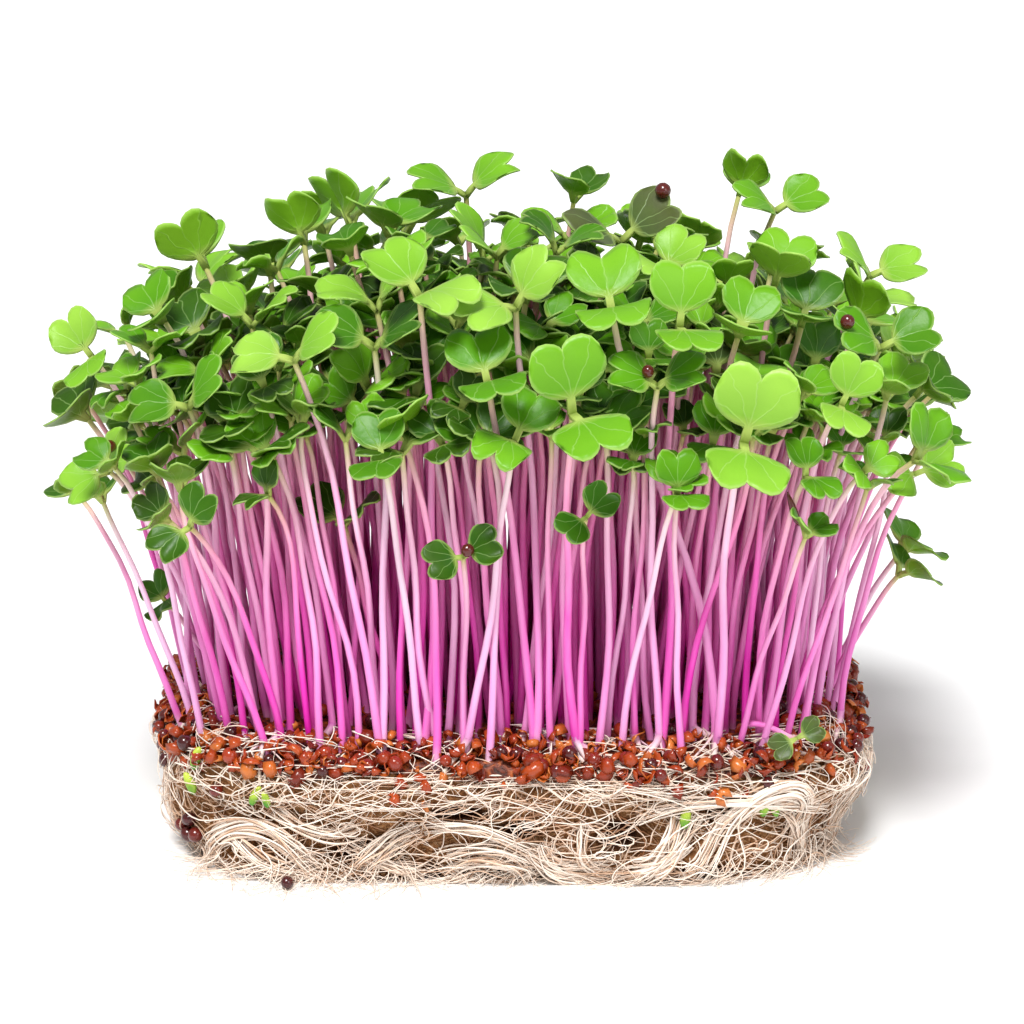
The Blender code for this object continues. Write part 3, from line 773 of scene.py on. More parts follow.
def pocket_list():
    """The hollows in the mat's sides, dark with painted shade: angle, height, and half sizes along and up."""
    draw = random.Random(DRAW_SEED + 3)
    pockets = [(front_angle(x), height, wide, tall) for x, height, wide, tall in FRONT_POCKETS]
    for k in range(POCKETS_ROUND):
        angle = BACK_FROM + (BACK_TO - BACK_FROM) * (k + draw.uniform(0.2, 0.8)) / POCKETS_ROUND
        pockets.append((angle, *(draw.uniform(*limits) for limits in POCKET_RANGES)))
    return pockets


def pocket_depths(places, pockets):
    """How deep each of these places on the side lies in a hollow, from 0 to 1."""
    depth = np.zeros(places.shape[:-1])
    for angle, height, wide, tall in pockets:
        level = np.linalg.norm((places - mat_place(angle, height))[..., :2], axis=-1)
        far = (level / wide) ** 2 + ((places[..., 2] - height) / tall) ** 2
        depth = np.maximum(depth, np.exp(-far))
    return depth


def build_felt(material):
    """The felted core: its sides in fine steps, with lumps and hollows painted with shade, its top and its
    underside.
    """
    angles = np.linspace(0, math.tau, MAT_STEPS_ROUND, endpoint=False)[None, :]
    heights = np.linspace(0, MAT_HEIGHT, MAT_STEPS_UP)[:, None]
    angles, heights = np.broadcast_arrays(angles, heights)
    side = mat_places(angles, heights)
    depth = pocket_depths(side, pocket_list())
    lumps = np.array([noise.fractal(Vector(p) * FELT_LUMPS, 1.0, 2.1, 4) for p in side.reshape(-1, 3)])
    push = FELT_LUMP * lumps.reshape(angles.shape) - FELT_DEPTH - POCKET_DEPTH * depth
    side = side + mat_normals(angles) * push[..., None]
    shares = np.linspace(1, 0.02, MAT_STEPS_IN)[1:, None, None]
    level = np.array([1, 1, 0])
    top = side[-1][None] * level * shares + np.array([0, 0, MAT_HEIGHT - 0.0004])
    under = (side[0][None] * level * shares)[::-1]
    points = np.concatenate([under, side, top])
    inner = np.zeros((len(top), MAT_STEPS_ROUND))
    sheaf = Sheaf()
    # painted shade in the hollows, none on the top and the underside
    hollow = np.concatenate([inner, depth, inner])
    sheaf.add(points, grid_quads(len(points), MAT_STEPS_ROUND, True), hollow=hollow)
    return sheaf.build("root_felt", material)


STRAND_POINTS = 16
STRAND_SIDES = 3
STRAND_RADIUS = 0.000085
STRAND_LIFT = 0.0004
RIM_WAVE = 0.0008

# The strands on the mat's sides: how many, the heights they start at, how far they turn from level, how
# far they curl, their lengths, how far they stand off the felt, and how pale they are. First the felted
# net, then the woven rim under the hulls, the hem, and small curls.
STRAND_KINDS = (
    (800, (0.0008, 0.0150), 1.4, 2.4, (0.006, 0.018), (-0.0006, 0.0005), 0.40),
    (500, (0.0112, 0.0158), 0.40, 1.2, (0.008, 0.022), (0.0001, 0.0015), 0.80),
    (260, (0.0003, 0.0030), 0.35, 1.0, (0.008, 0.022), (-0.0002, 0.0016), 0.55),
    (300, (0.0030, 0.0150), 3.00, 5.0, (0.005, 0.012), (0.0004, 0.0016), 0.95),
)


def add_strands(sheaf, paths, radii, tones):
    """Thin tubes along these centre lines, each of one tone."""
    points, quads = tubes(paths, radii, STRAND_SIDES)
    sheaf.add(points, quads, tone=np.repeat(tones, paths.shape[1] * STRAND_SIDES))


def ripple(draw, each, t, slowest, fastest):
    """Waves along t, each with a drawn rate and phase."""
    return np.sin(draw.uniform(slowest, fastest, each) * t + draw.uniform(0, 6, each))


def wandering(draw, count, heights, spread, curl, lengths, offsets):
    """Centre lines that wander over the mat's sides, and how far each stands off them."""
    each = (count, 1)
    t = np.linspace(0, 1, STRAND_POINTS)[None]
    angle = draw.uniform(0, math.tau, count)
    height = draw.uniform(*heights, count) + RIM_WAVE * (np.sin(3 * angle + 0.7) + 0.6 * np.sin(8 * angle))
    height = np.maximum(height, LOWEST)
    way = draw.normal(0, spread, each) + math.pi * draw.integers(0, 2, each) + draw.normal(0, curl, each) * t
    way = way + draw.uniform(0.1, 0.9, each) * ripple(draw, each, t, 4, 13)
    step = draw.uniform(*lengths, count) / (STRAND_POINTS - 1)
    ceiling = MAT_HEIGHT + draw.uniform(-0.0020, 0.0012, count)
    stand = draw.uniform(*offsets, each)
    lift = stand + STRAND_LIFT * ripple(draw, each, t, 2, 9)
    places = np.empty((count, STRAND_POINTS, 3))
    for k in range(STRAND_POINTS):
        here = mat_places(angle, height)
        places[:, k] = here + mat_normals(angle) * lift[:, k, None]
        angle = angle + step * np.cos(way[:, k]) / np.linalg.norm(here[:, :2], axis=-1)
        height = np.clip(height + step * np.sin(way[:, k]), LOWEST, ceiling)
    return places, (stand[:, 0] - offsets[0]) / (offsets[1] - offsets[0])


def build_strands(material):
    """The net of fine roots over the mat's sides. Those nearer the felt get painted shade, so the outer ones
    are the paler ones.
    """
    draw = np.random.default_rng(DRAW_SEED)
    sheaf = Sheaf()
    swell = 0.3 + 0.7 * np.sin(math.pi * np.linspace(0.04, 0.96, STRAND_POINTS))
    for count, *shape, pale in STRAND_KINDS:
        places, out = wandering(draw, count, *shape)
        radii = STRAND_RADIUS * draw.uniform(0.55, 1.6, (count, 1)) * swell
        # painted shade: strands that stand closer to the felt are darker
        add_strands(sheaf, places, radii, pale + 0.35 * (out - 0.5) + draw.uniform(-0.25, 0.25, count))
    return sheaf.build("root_strands", material)


FURTHER_BUNDLES = (
    ((0.0165, 0.0105), (0.0310, 0.0150), (0.0425, 0.0085)),
    ((0.0235, 0.0060), (0.0200, 0.0030), (0.0140, 0.0006)),
    ((0.0020, 0.0055), (0.0080, 0.0005), (0.0150, 0.0006)),
    ((0.0096, 0.0095), (0.0082, 0.0030), (0.0140, 0.0006)),
    ((-0.0120, 0.0080), (-0.0050, 0.0105), (0.0035, 0.0045)),
    ((-0.0230, 0.0060), (-0.0170, 0.0015), (-0.0125, 0.0012)),
    ((-0.0330, 0.0110), (-0.0260, 0.0050), (-0.0200, 0.0085)),
    ((0.0330, 0.0120), (0.0400, 0.0080), (0.0410, 0.0010)),
    ((-0.0400, 0.0080), (-0.0330, 0.0020), (-0.0250, 0.0008)),
)  # thinner bundles that only this scene has
BUNDLE_RINGS = 22
STRANDS_IN_BUNDLE = 30
STRANDS_IN_THIN = 14
THIN_WIDTH = 0.55
BUNDLE_STRANDS = (0.00010, 0.00024)  # radii
BUNDLE_LIFT = 0.0009


def build_bundles(material):
    """The thick root bundles: each is many strands that run along one route and fan out at its ends."""
    draw = np.random.default_rng(DRAW_SEED + 1)
    sheaf = Sheaf()
    t = np.linspace(0, 1, BUNDLE_RINGS)
    routes = bundle_routes(BUNDLE_RINGS, FRONT_BUNDLES)
    thin = bundle_routes(BUNDLE_RINGS, FURTHER_BUNDLES)[:len(FURTHER_BUNDLES)]
    kinds = [(route, 1.0, STRANDS_IN_BUNDLE) for route in routes]
    kinds += [(route, THIN_WIDTH, STRANDS_IN_THIN) for route in thin]
    for route, width, count in kinds:
        each = (count, 1)
        angles, heights = np.array(route).T
        reach = width * BUNDLE_RADIUS * (0.6 + 0.4 * np.sin(math.pi * t))
        heights = np.maximum(heights, 0.8 * reach + FIT_GAP)
        centre = mat_places(angles, heights)
        out = mat_normals(angles)
        across = unit(np.cross(unit(np.gradient(centre, axis=0)), out))
        twist = draw.uniform(0, math.tau, each) + draw.uniform(-2.2, 2.2, each) * t
        fray = 1 + draw.uniform(0, 2.4, each) * np.abs(2 * t - 1) ** 3
        spread = reach * 0.80 * np.sqrt(draw.uniform(0.03, 1, each)) * fray
        waver = 0.0002 * np.sin(draw.uniform(6, 14, each) * t + 6 * twist[:, :1])
        sideways = 1.3 * spread * np.cos(twist) + waver
        lift = BUNDLE_LIFT * np.sin(math.pi * t) + 0.6 * spread * np.sin(twist)
        paths = centre + across * sideways[..., None] + out * lift[..., None]
        paths[..., 2] = np.maximum(paths[..., 2], LOWEST)
        taper = 0.35 + 0.65 * np.sin(math.pi * np.clip(t, 0.03, 0.97))
        radii = draw.uniform(*BUNDLE_STRANDS, each) * taper
        add_strands(sheaf, paths, radii, draw.uniform(0.45, 1.15, count))
    return sheaf.build("root_bundles", material)


RIM_ROOTS = 330
FRAYED_ROOTS = 170
FRONT_FRAYS = (
    (-0.0450, -0.0130, 0.0085, 130),
    (-0.0130, 0.0300, 0.0040, 80),
    (0.0300, 0.0470, 0.0070, 60),
)  # from x, to x, reach, how many


def rim_roots(draw):
    """Fine roots that loop over the hulls at the mat's rim and curl down its side."""
    each = (RIM_ROOTS, 1)
    t = np.linspace(0, 1, STRAND_POINTS)
    inner = draw.uniform(0.001, 0.010, each)
    way = inner - (inner + draw.uniform(-0.001, 0.006, each)) * t
    curl = draw.uniform(0.02, 0.09, each) * ripple(draw, each, t, 4, 11)
    angles = draw.uniform(0, math.tau, each) + draw.normal(0, 0.16, each) * t + curl
    places = mat_places(angles, MAT_HEIGHT + np.minimum(way, 0))
    stand = 0.0007 * np.sin(math.pi * np.clip(-way / 0.005, 0, 1)) - np.maximum(way, 0)
    places = places + mat_normals(angles) * stand[..., None]
    lift = HULL_LAYER_HEIGHT * np.clip(way / 0.003, 0, 1) ** 0.6
    places[..., 2] += lift + 0.0013 * np.sin(math.pi * t) * draw.uniform(0.2, 1.8, each)
    return places, STRAND_RADIUS * draw.uniform(0.6, 1.5, each) * np.linspace(1.2, 0.5, STRAND_POINTS)


def frayed_roots(draw, angles, reach):
    """Loose fibres that stick out of the mat's foot at these angles, and lie down on the ground."""
    each = (len(angles), 1)
    t = np.linspace(0, 1, STRAND_POINTS)
    drift = draw.normal(0, 0.12, each) * t + 0.02 * np.sin(draw.uniform(2, 7, each) * t)
    angles = angles[:, None] + drift
    start = draw.uniform(0.0006, 0.005, each)
    heights = np.maximum(start * (1 - t) ** 1.4 + 0.0005 * np.sin(6 * t + angles * 9), LOWEST)
    out = reach * draw.uniform(0.2, 1, each) * t**1.2
    places = mat_places(angles, heights) + mat_normals(angles) * out[..., None]
    return places, STRAND_RADIUS * draw.uniform(0.5, 1.4, each) * np.linspace(1.1, 0.35, STRAND_POINTS)


def build_loose_roots(material):
    draw = np.random.default_rng(DRAW_SEED + 6)
    sheaf = Sheaf()
    kinds = [rim_roots(draw), frayed_roots(draw, draw.uniform(0, math.tau, FRAYED_ROOTS), 0.0050)]
    for first, last, reach, count in FRONT_FRAYS:
        kinds.append(frayed_roots(draw, draw.uniform(front_angle(first), front_angle(last), count), reach))
    for places, radii in kinds:
        add_strands(sheaf, places, radii, draw.uniform(0.6, 1.2, len(places)))
    return sheaf.build("loose_roots", material)


FOOT_REACH = 0.80
FOOT_SHARE = 0.34
FOOT_POINTS = 14
FOOT_SIDES = 6
FOOT_LIFT = 0.0012
SIDE_ROOTS = 2


def build_feet(seedlings, material):
    """The white roots of some outer stems, which bend over the rim and down the mat's side."""
    draw = np.random.default_rng(DRAW_SEED + 7)
    sheaf = Sheaf()
    t = np.linspace(0, 1, FOOT_POINTS)
    for seedling in seedlings:
        x, y = seedling.root.xy
        angle = angle_of(x, y)
        rim = mat_place(angle, MAT_HEIGHT)
        if np.hypot(x, y) / np.hypot(rim[0], rim[1]) < FOOT_REACH or draw.random() > FOOT_SHARE:
            continue
        start, above = np.array(seedling.stem_point(0.07)), np.array(seedling.stem_point(0.14))
        side = draw.normal(0, 0.13)
        thick = STEM_FOOT * draw.uniform(0.65, 0.9)
        for k in range(1 + SIDE_ROOTS):
            end_angle = angle + side + (draw.normal(0, 0.09) if k else 0)
            out = mat_normals(np.array(end_angle))
            end = mat_place(end_angle, MAT_HEIGHT - draw.uniform(0.001, 0.008)) + out * 0.0004
            over = mat_place((angle + 2 * end_angle) / 3, MAT_HEIGHT)
            over = over + out * FOOT_LIFT + np.array([0, 0, FOOT_LIFT])
            path = bezier(start, start - 0.55 * (above - start), over, end, t[:, None])
            radii = thick * (0.3 if k else 1) * (1 - t) ** 0.9 + 0.00007
            points, quads = tubes(path[None], radii[None], FOOT_SIDES if k == 0 else STRAND_SIDES)
            sheaf.add(points, quads, tone=np.repeat(0.1 + 1.2 * t, len(points) // FOOT_POINTS))
    return sheaf.build("stem_feet", material)


# Seeds and hulls

SEEDS = 250
HULLS = 1180
SPILT_HULLS = 240
SPILL = 0.0014
SEED_RADIUS = 0.00108
SEED_TRIES = 12
SEED_ROOM = 0.0004  # to a stem
SEED_SPACING = 1.85  # in seed radii
OUTER_SEEDS = 0.40
OUTER_HULLS = 0.85
BED_REACH = 0.955
BED_GRAINS = 900  # in a metre
BED_STEPS_IN = 26
BED_STEPS_ROUND = 200
HULL_GRID = (3, 6)  # rows and columns of points

# Seeds that hang in the roots on the mat's side or lie at its foot: a place that gives the side's angle,
# the height, and how far the seed stands off the side
SIDE_SEEDS = (
    (-0.0470, -0.0060, 0.0160, 0.0008),
    (-0.0465, -0.0090, 0.0150, 0.0006),
    (-0.0460, -0.0120, 0.0133, 0.0008),
    (-0.0455, -0.0150, 0.0122, 0.0006),
    (-0.0450, -0.0215, 0.0048, 0.0004),
    (-0.0445, -0.0230, 0.0038, 0.0006),
    (-0.0440, -0.0250, 0.0043, 0.0006),
    (-0.0440, -0.0235, 0.0062, 0.0002),
    (-0.0410, -0.0300, 0.0125, 0.0006),
    (-0.0335, -0.0350, 0.0011, 0.0032),
    (0.0365, -0.0340, 0.0146, 0.0008),
    (0.0460, -0.0190, 0.0128, 0.0006),
    (0.0455, -0.0165, 0.0112, 0.0004),
)
# Green tips that come out of the mat's side: x at the front, height, and how far they lean aside
SPROUTS = (
    (-0.0412, 0.0128, -0.3),
    (-0.0405, 0.0165, 0.2),
    (-0.0330, 0.0126, 0.4),
    (-0.0318, 0.0122, -0.2),
    (0.0330, 0.0112, 0.3),
    (0.0342, 0.0108, -0.3),
    (0.0232, 0.0098, 0.1),
)
SPROUT_SHAPE = (0.0007, 0.0005, 0.0015)
SPROUT_STAND = 0.0009
HUSK_SHAPE = (0.00055, 0.00055, 0.0024)
HUSK_LEAN = -0.35
CLINGING_TONE = 0.4


def cube_sphere(steps):
    """Points and quads of a ball made from a cube's faces, so that it has no poles."""
    line = np.tan(np.linspace(-1, 1, steps + 1) * math.pi / 4)
    a, b = np.meshgrid(line, line, indexing="ij")
    one = np.ones_like(a)
    sides = [(one, a, b), (-one, b, a), (b, one, a), (a, -one, b), (a, b, one), (b, a, -one)]
    points = unit(np.concatenate([np.stack(side, axis=-1).reshape(-1, 3) for side in sides]))
    quads = many_quads(grid_quads(steps + 1, steps + 1, False), 6, (steps + 1) ** 2)
    _, first, index = np.unique(np.round(points, 6), axis=0, return_index=True, return_inverse=True)
    return points[first], index.reshape(-1)[quads]


def turned(points, draw):
    """The points turned at random."""
    w, x, y, z = unit(draw.normal(size=4))
    rows = np.array([
        (1 - 2 * (y * y + z * z), 2 * (x * y - z * w), 2 * (x * z + y * w)),
        (2 * (x * y + z * w), 1 - 2 * (x * x + z * z), 2 * (y * z - x * w)),
        (2 * (x * z - y * w), 2 * (y * z + x * w), 1 - 2 * (x * x + y * y)),
    ])
    return points @ rows.T


def layer_place(draw, outer_part):
    """A place over the hull layer, oftener near its rim, where it shows, and how far out it is."""
    angle = draw.uniform(0, math.tau)
    outer = draw.random() < outer_part
    reach = draw.uniform(0.84, 1.0) if outer else 0.9 * math.sqrt(draw.uniform(0, 1))
    spread = reach * superellipse(angle)
    x, y = spread * MAT_WIDTH / 2 * math.cos(angle), spread * MAT_DEPTH / 2 * math.sin(angle)
    return np.array([x, y]), reach


def layer_height(reach):
    """The hull layer's top, rounded down towards the mat's rim."""
    return HULL_LAYER_TOP - 0.0030 * np.clip((reach - 0.80) / 0.2, 0, 1) ** 2


def on_side(x, y, height, stand):
    """A place this far off the mat's side, at the angle of (x, y)."""
    return off_side(angle_of(x, y), height, stand)


def build_seeds(stems, on_leaves, husk, material):
    """Whole seeds between the stems, in the mat's sides and on leaves, and one long husk."""
    draw = np.random.default_rng(DRAW_SEED + 4)
    ball, quads = cube_sphere(3)
    sheaf = Sheaf()
    placed = np.full((1, 3), 9.0)
    centres = [on_side(*place) for place in SIDE_SEEDS] + [np.array(place) for place in on_leaves]
    for _ in range(SEED_TRIES * SEEDS):
        if len(placed) > SEEDS:
            break
        place, reach = layer_place(draw, OUTER_SEEDS)
        centre = np.array([*place, layer_height(reach) + SEED_RADIUS * draw.uniform(-0.4, 0.9)])
        clear = np.linalg.norm(stems - place, axis=-1).min() > SEED_RADIUS + SEED_ROOM
        if clear and np.linalg.norm(placed - centre, axis=-1).min() > SEED_SPACING * SEED_RADIUS:
            placed = np.concatenate([placed, centre[None]])
            centres.append(centre)
    for centre in centres:
        shape = ball * SEED_RADIUS * draw.uniform(0.8, 1.12) * np.array([1, 1, draw.uniform(0.86, 1.0)])
        tone = draw.uniform(0, 1) ** 1.5
        above = centre[2] > HULL_LAYER_TOP + 0.01
        sheaf.add(turned(shape, draw) + centre, quads, tone=CLINGING_TONE if above else tone)
    shape = ball * np.array(HUSK_SHAPE)
    shape[:, :2] *= 1 - 0.5 * ball[:, 2:]
    shape[:, 0] += HUSK_LEAN * shape[:, 2]
    sheaf.add(shape + husk, quads, tone=CLINGING_TONE)
    return sheaf.build("seeds", material)


def build_hulls(material):
    """Split seed coats: small crushed bowls that lie any way up, some of them spilt over the mat's rim."""
    draw = np.random.default_rng(DRAW_SEED + 5)
    rows, columns = HULL_GRID
    quads = sheet_quads(rows, columns)
    sheaf = Sheaf()
    for k in range(HULLS + SPILT_HULLS):
        polar = np.linspace(0.15, draw.uniform(1.2, 1.9), rows)[:, None]
        round_angle = np.linspace(0, draw.uniform(3.2, 5.4), columns)[None, :]
        curl = np.stack([
            np.sin(polar) * np.cos(round_angle),
            np.sin(polar) * np.sin(round_angle),
            np.cos(polar) + 0 * round_angle,
        ], axis=-1).reshape(-1, 3) * draw.uniform(0.55, 1.15, 3)
        shell = np.concatenate([curl * 1.05, curl * 0.93])
        if k < HULLS:
            place, reach = layer_place(draw, OUTER_HULLS)
            centre = np.array([*place, layer_height(reach) + draw.uniform(-0.0003, 0.0012)])
        else:
            angle = draw.uniform(0, math.tau)
            depth = abs(draw.normal(0, SPILL)) * (1 + 0.8 * math.sin(7 * angle + 2))
            centre = off_side(angle, MAT_HEIGHT + 0.0005 - depth, 0.0003)
        radius = SEED_RADIUS * draw.uniform(0.85, 1.55)
        sheaf.add(turned(shell, draw) * radius + centre, quads, tone=draw.uniform(0, 1))
    return sheaf.build("seed_hulls", material)


def build_bed(material):
    """The dark bed of broken hulls that the seeds lie in."""
    shares = np.linspace(1, 0.01, BED_STEPS_IN)[:, None]
    angles = np.linspace(0, math.tau, BED_STEPS_ROUND, endpoint=False)[None, :]
    spread = shares * BED_REACH * superellipse(angles)
    x = spread * MAT_WIDTH / 2 * np.cos(angles)
    y = spread * MAT_DEPTH / 2 * np.sin(angles)
    places = zip(x.reshape(-1), y.reshape(-1))
    bumps = np.array([noise.noise(Vector((a * BED_GRAINS, b * BED_GRAINS, 0))) for a, b in places])
    level = layer_height(BED_REACH * shares) - 0.0008 + 0.0009 * bumps.reshape(x.shape)
    top = np.stack([x, y, level], axis=-1)
    skirt = top[0] * np.array([1, 1, 0]) + np.array([0, 0, MAT_HEIGHT - 0.0014])
    sheaf = Sheaf()
    sheaf.add(np.concatenate([skirt[None], top]), grid_quads(BED_STEPS_IN + 1, BED_STEPS_ROUND, True))
    return sheaf.build("hull_bed", material)


def build_sprouts(material):
    """Green tips of seedlings that never came up, in the mat's side."""
    draw = np.random.default_rng(DRAW_SEED + 8)
    ball, quads = cube_sphere(4)
    sheaf = Sheaf()
    for x, height, lean in SPROUTS:
        angle = front_angle(x)
        shape = ball * np.array(SPROUT_SHAPE) * draw.uniform(0.8, 1.2)
        shape[:, 0] += lean * shape[:, 2] * (1 + 200 * shape[:, 2])
        centre = off_side(angle, height, SPROUT_STAND)
        sheaf.add(shape + centre, quads, along=(ball[:, 2] + 1) / 2)
    return sheaf.build("green_tips", material)


# Materials


class Finish:
    """A node material, built up from its Principled shader."""

    def __init__(self, name, roughness, **constants):
        self.material = bpy.data.materials.new(name)
        self.material.use_nodes = True
        self.tree = self.material.node_tree
        self.shader = self.tree.nodes["Principled BSDF"]
        self.shader.inputs["Roughness"].default_value = roughness
        for socket, value in constants.items():
            self.shader.inputs[socket.replace("_", " ")].default_value = value

    def node(self, kind, **settings):
        made = self.tree.nodes.new(kind)
        for key, value in settings.items():
            setattr(made, key, value)
        return made

    def put(self, target, value):
        """Sets a socket to a number, or links it to another socket."""
        if isinstance(value, bpy.types.NodeSocket):
            self.tree.links.new(value, target)
        else:
            target.default_value = value

    def attribute(self, name):
        return self.node("ShaderNodeAttribute", attribute_name=name).outputs["Fac"]

    def math(self, operation, a, b=0.0, c=0.0, clamp=False):
        made = self.node("ShaderNodeMath", operation=operation, use_clamp=clamp)
        for target, value in zip(made.inputs, (a, b, c)):
            self.put(target, value)
        return made.outputs[0]

    def times(self, a, b, clamp=False):
        return self.math("MULTIPLY", a, b, clamp=clamp)

    def line(self, value, slope, start):
        """The value times slope, plus start."""
        return self.math("MULTIPLY_ADD", value, slope, start)

    def share(self, value, slope, start):
        """The same, held between 0 and 1."""
        return self.math("MULTIPLY_ADD", value, slope, start, clamp=True)

    def ramp(self, factor, *stops):
        """A colour ramp of (position, (r, g, b)) stops."""
        made = self.node("ShaderNodeValToRGB")
        elements = made.color_ramp.elements
        while len(elements) < len(stops):
            elements.new(0.5)
        for element, (position, colour) in zip(elements, stops):
            element.position = position
            element.color = (*colour, 1)
        self.put(made.inputs[0], factor)
        return made.outputs["Color"]

    def mix(self, factor, a, b):
        made = self.node("ShaderNodeMix", data_type="RGBA", clamp_factor=True)
        self.put(made.inputs["Factor"], factor)
        for target, value in ((made.inputs["A"], a), (made.inputs["B"], b)):
            self.put(target, (*value, 1) if isinstance(value, tuple) else value)
        return made.outputs["Result"]

    def noise(self, scale, detail=4.0, stretch=(1, 1, 1), distortion=0.0):
        place = self.node("ShaderNodeNewGeometry").outputs["Position"]
        mapping = self.node("ShaderNodeMapping")
        mapping.inputs["Scale"].default_value = stretch
        self.put(mapping.inputs["Vector"], place)
        made = self.node("ShaderNodeTexNoise")
        made.inputs["Scale"].default_value = scale
        made.inputs["Detail"].default_value = detail
        made.inputs["Distortion"].default_value = distortion
        self.put(made.inputs["Vector"], mapping.outputs["Vector"])
        return made.outputs["Fac"]

    def bump(self, height, strength, distance):
        made = self.node("ShaderNodeBump")
        made.inputs["Strength"].default_value = strength
        made.inputs["Distance"].default_value = distance
        self.put(made.inputs["Height"], height)
        self.put(self.shader.inputs["Normal"], made.outputs["Normal"])

    def colour(self, socket):
        self.put(self.shader.inputs["Base Color"], socket)
        return self.material


def stem_material():
    finish = Finish("stem_skin", 0.40, Specular_IOR_Level=0.3)
    along = finish.attribute("along")
    tone = finish.attribute("tone")
    vivid = finish.ramp(
        along,
        (0.00, (0.80, 0.36, 0.58)),
        (0.06, (0.72, 0.012, 0.40)),
        (0.25, (0.80, 0.035, 0.48)),
        (0.50, (0.88, 0.150, 0.54)),
        (0.78, (0.92, 0.340, 0.55)),
        (0.92, (0.74, 0.420, 0.36)),
        (1.00, (0.42, 0.460, 0.10)),
    )
    pale = finish.ramp(
        along,
        (0.00, (0.92, 0.76, 0.84)),
        (0.08, (0.92, 0.56, 0.86)),
        (0.28, (0.95, 0.73, 0.92)),
        (0.56, (0.96, 0.81, 0.93)),
        (0.86, (0.95, 0.82, 0.85)),
        (1.00, (0.60, 0.62, 0.22)),
    )
    streaks = finish.noise(500, 3, (1, 1, 0.08))
    # tone holds random paleness and painted light: stems at the block's lit edge paler, those shaded inside
    # deeper
    paleness = finish.math("SUBTRACT", tone, 0.3)
    share = finish.math("ADD", finish.times(streaks, 0.5), paleness, clamp=True)
    finish.bump(streaks, 0.25, 0.0002)
    return finish.colour(finish.mix(share, vivid, pale))


def leaf_material():
    finish = Finish("leaf_skin", 0.36, Specular_IOR_Level=0.22)
    along = finish.attribute("along")
    across = finish.attribute("across")
    upper = finish.ramp(
        finish.attribute("tone"),
        (0.00, (0.002, 0.018, 0.001)),
        (0.30, (0.013, 0.088, 0.001)),
        (0.55, (0.075, 0.270, 0.004)),
        (0.80, (0.165, 0.420, 0.016)),
        (1.00, (0.290, 0.540, 0.060)),
    )
    aged = finish.mix(finish.attribute("age"), upper, (0.060, 0.035, 0.035))
    cloud = finish.noise(230, 4)
    lit = finish.mix(finish.times(cloud, 0.22), aged, (0.24, 0.50, 0.02))
    # painted shade: darker green towards the leaf's base
    base_shade_mask = finish.share(along, -1.6, 1.25)
    base_shaded = finish.mix(finish.times(base_shade_mask, 0.35), lit, (0.020, 0.140, 0.003))
    forward = finish.math("SUBTRACT", along, 0.24)
    fan = finish.math("ARCTAN2", finish.times(across, 0.49), forward)
    wander = finish.line(finish.noise(300, 2), 0.5, -0.25)
    rays = finish.math("PINGPONG", finish.math("ADD", fan, wander), 0.26)
    far = finish.line(finish.math("ABSOLUTE", across), 0.3, forward)
    vein = finish.share(finish.times(rays, far), -75.0, 1.0)
    veined = finish.mix(finish.times(vein, 0.28), base_shaded, (0.46, 0.68, 0.24))
    # pale leaf rim: partly the leaf's own colour, partly painted highlight
    rim = finish.share(finish.attribute("edge"), 16.0, -15.2)
    rimmed = finish.mix(finish.times(rim, 0.65), veined, (0.48, 0.68, 0.20))
    under = finish.mix(0.45, rimmed, (0.22, 0.43, 0.02))
    faced = finish.mix(finish.attribute("face"), under, rimmed)
    base = finish.share(along, -6.0, 2.3)
    stalked = finish.mix(finish.times(base, 0.85), faced, (0.42, 0.52, 0.12))
    finish.bump(finish.math("ADD", finish.noise(700, 3), finish.times(vein, -0.5)), 0.35, 0.0002)
    return finish.colour(stalked)


def sprout_material():
    finish = Finish("sprout_skin", 0.35, Specular_IOR_Level=0.45)
    cloud = finish.noise(900, 3)
    finish.bump(cloud, 0.3, 0.0002)
    share = finish.line(cloud, 0.5, finish.times(finish.attribute("along"), 0.6))
    return finish.colour(finish.ramp(share, (0.25, (0.04, 0.26, 0.01)), (0.75, (0.48, 0.60, 0.06))))


def root_material(name, low, middle, high):
    finish = Finish(name, 0.55, Specular_IOR_Level=0.3)
    cloud = finish.noise(300, 3)
    share = finish.line(cloud, 0.4, finish.times(finish.attribute("tone"), 0.6))
    finish.bump(finish.noise(2500, 2), 0.3, 0.0001)
    return finish.colour(finish.ramp(share, (0.2, low), (0.45, middle), (0.72, high)))


def felt_material():
    finish = Finish("root_felt", 0.85, Specular_IOR_Level=0.15)
    fibres = finish.noise(600, 8, (1, 1, 1.6), 2.5)
    base = finish.ramp(
        fibres,
        (0.30, (0.070, 0.020, 0.006)),
        (0.46, (0.165, 0.058, 0.018)),
        (0.58, (0.37, 0.180, 0.075)),
        (0.72, (0.72, 0.490, 0.310)),
    )
    shaded = finish.mix(finish.times(finish.noise(150, 5), 0.6), base, (0.36, 0.18, 0.07))
    # painted shade: near black in the mat's hollows
    hollow = finish.times(finish.attribute("hollow"), 1.6, clamp=True)
    finish.bump(fibres, 0.9, 0.0008)
    return finish.colour(finish.mix(hollow, shaded, (0.040, 0.012, 0.004)))


def seed_material():
    finish = Finish("seed_skin", 0.22, Specular_IOR_Level=0.5, Coat_Weight=0.3, Coat_Roughness=0.1)
    colour = finish.ramp(
        finish.attribute("tone"),
        (0.0, (0.020, 0.002, 0.005)),
        (0.45, (0.070, 0.005, 0.005)),
        (0.78, (0.210, 0.016, 0.006)),
        (1.0, (0.440, 0.050, 0.008)),
    )
    mottle = finish.noise(1400, 3)
    finish.bump(mottle, 0.25, 0.0001)
    return finish.colour(finish.mix(finish.times(mottle, 0.3), colour, (0.22, 0.025, 0.010)))


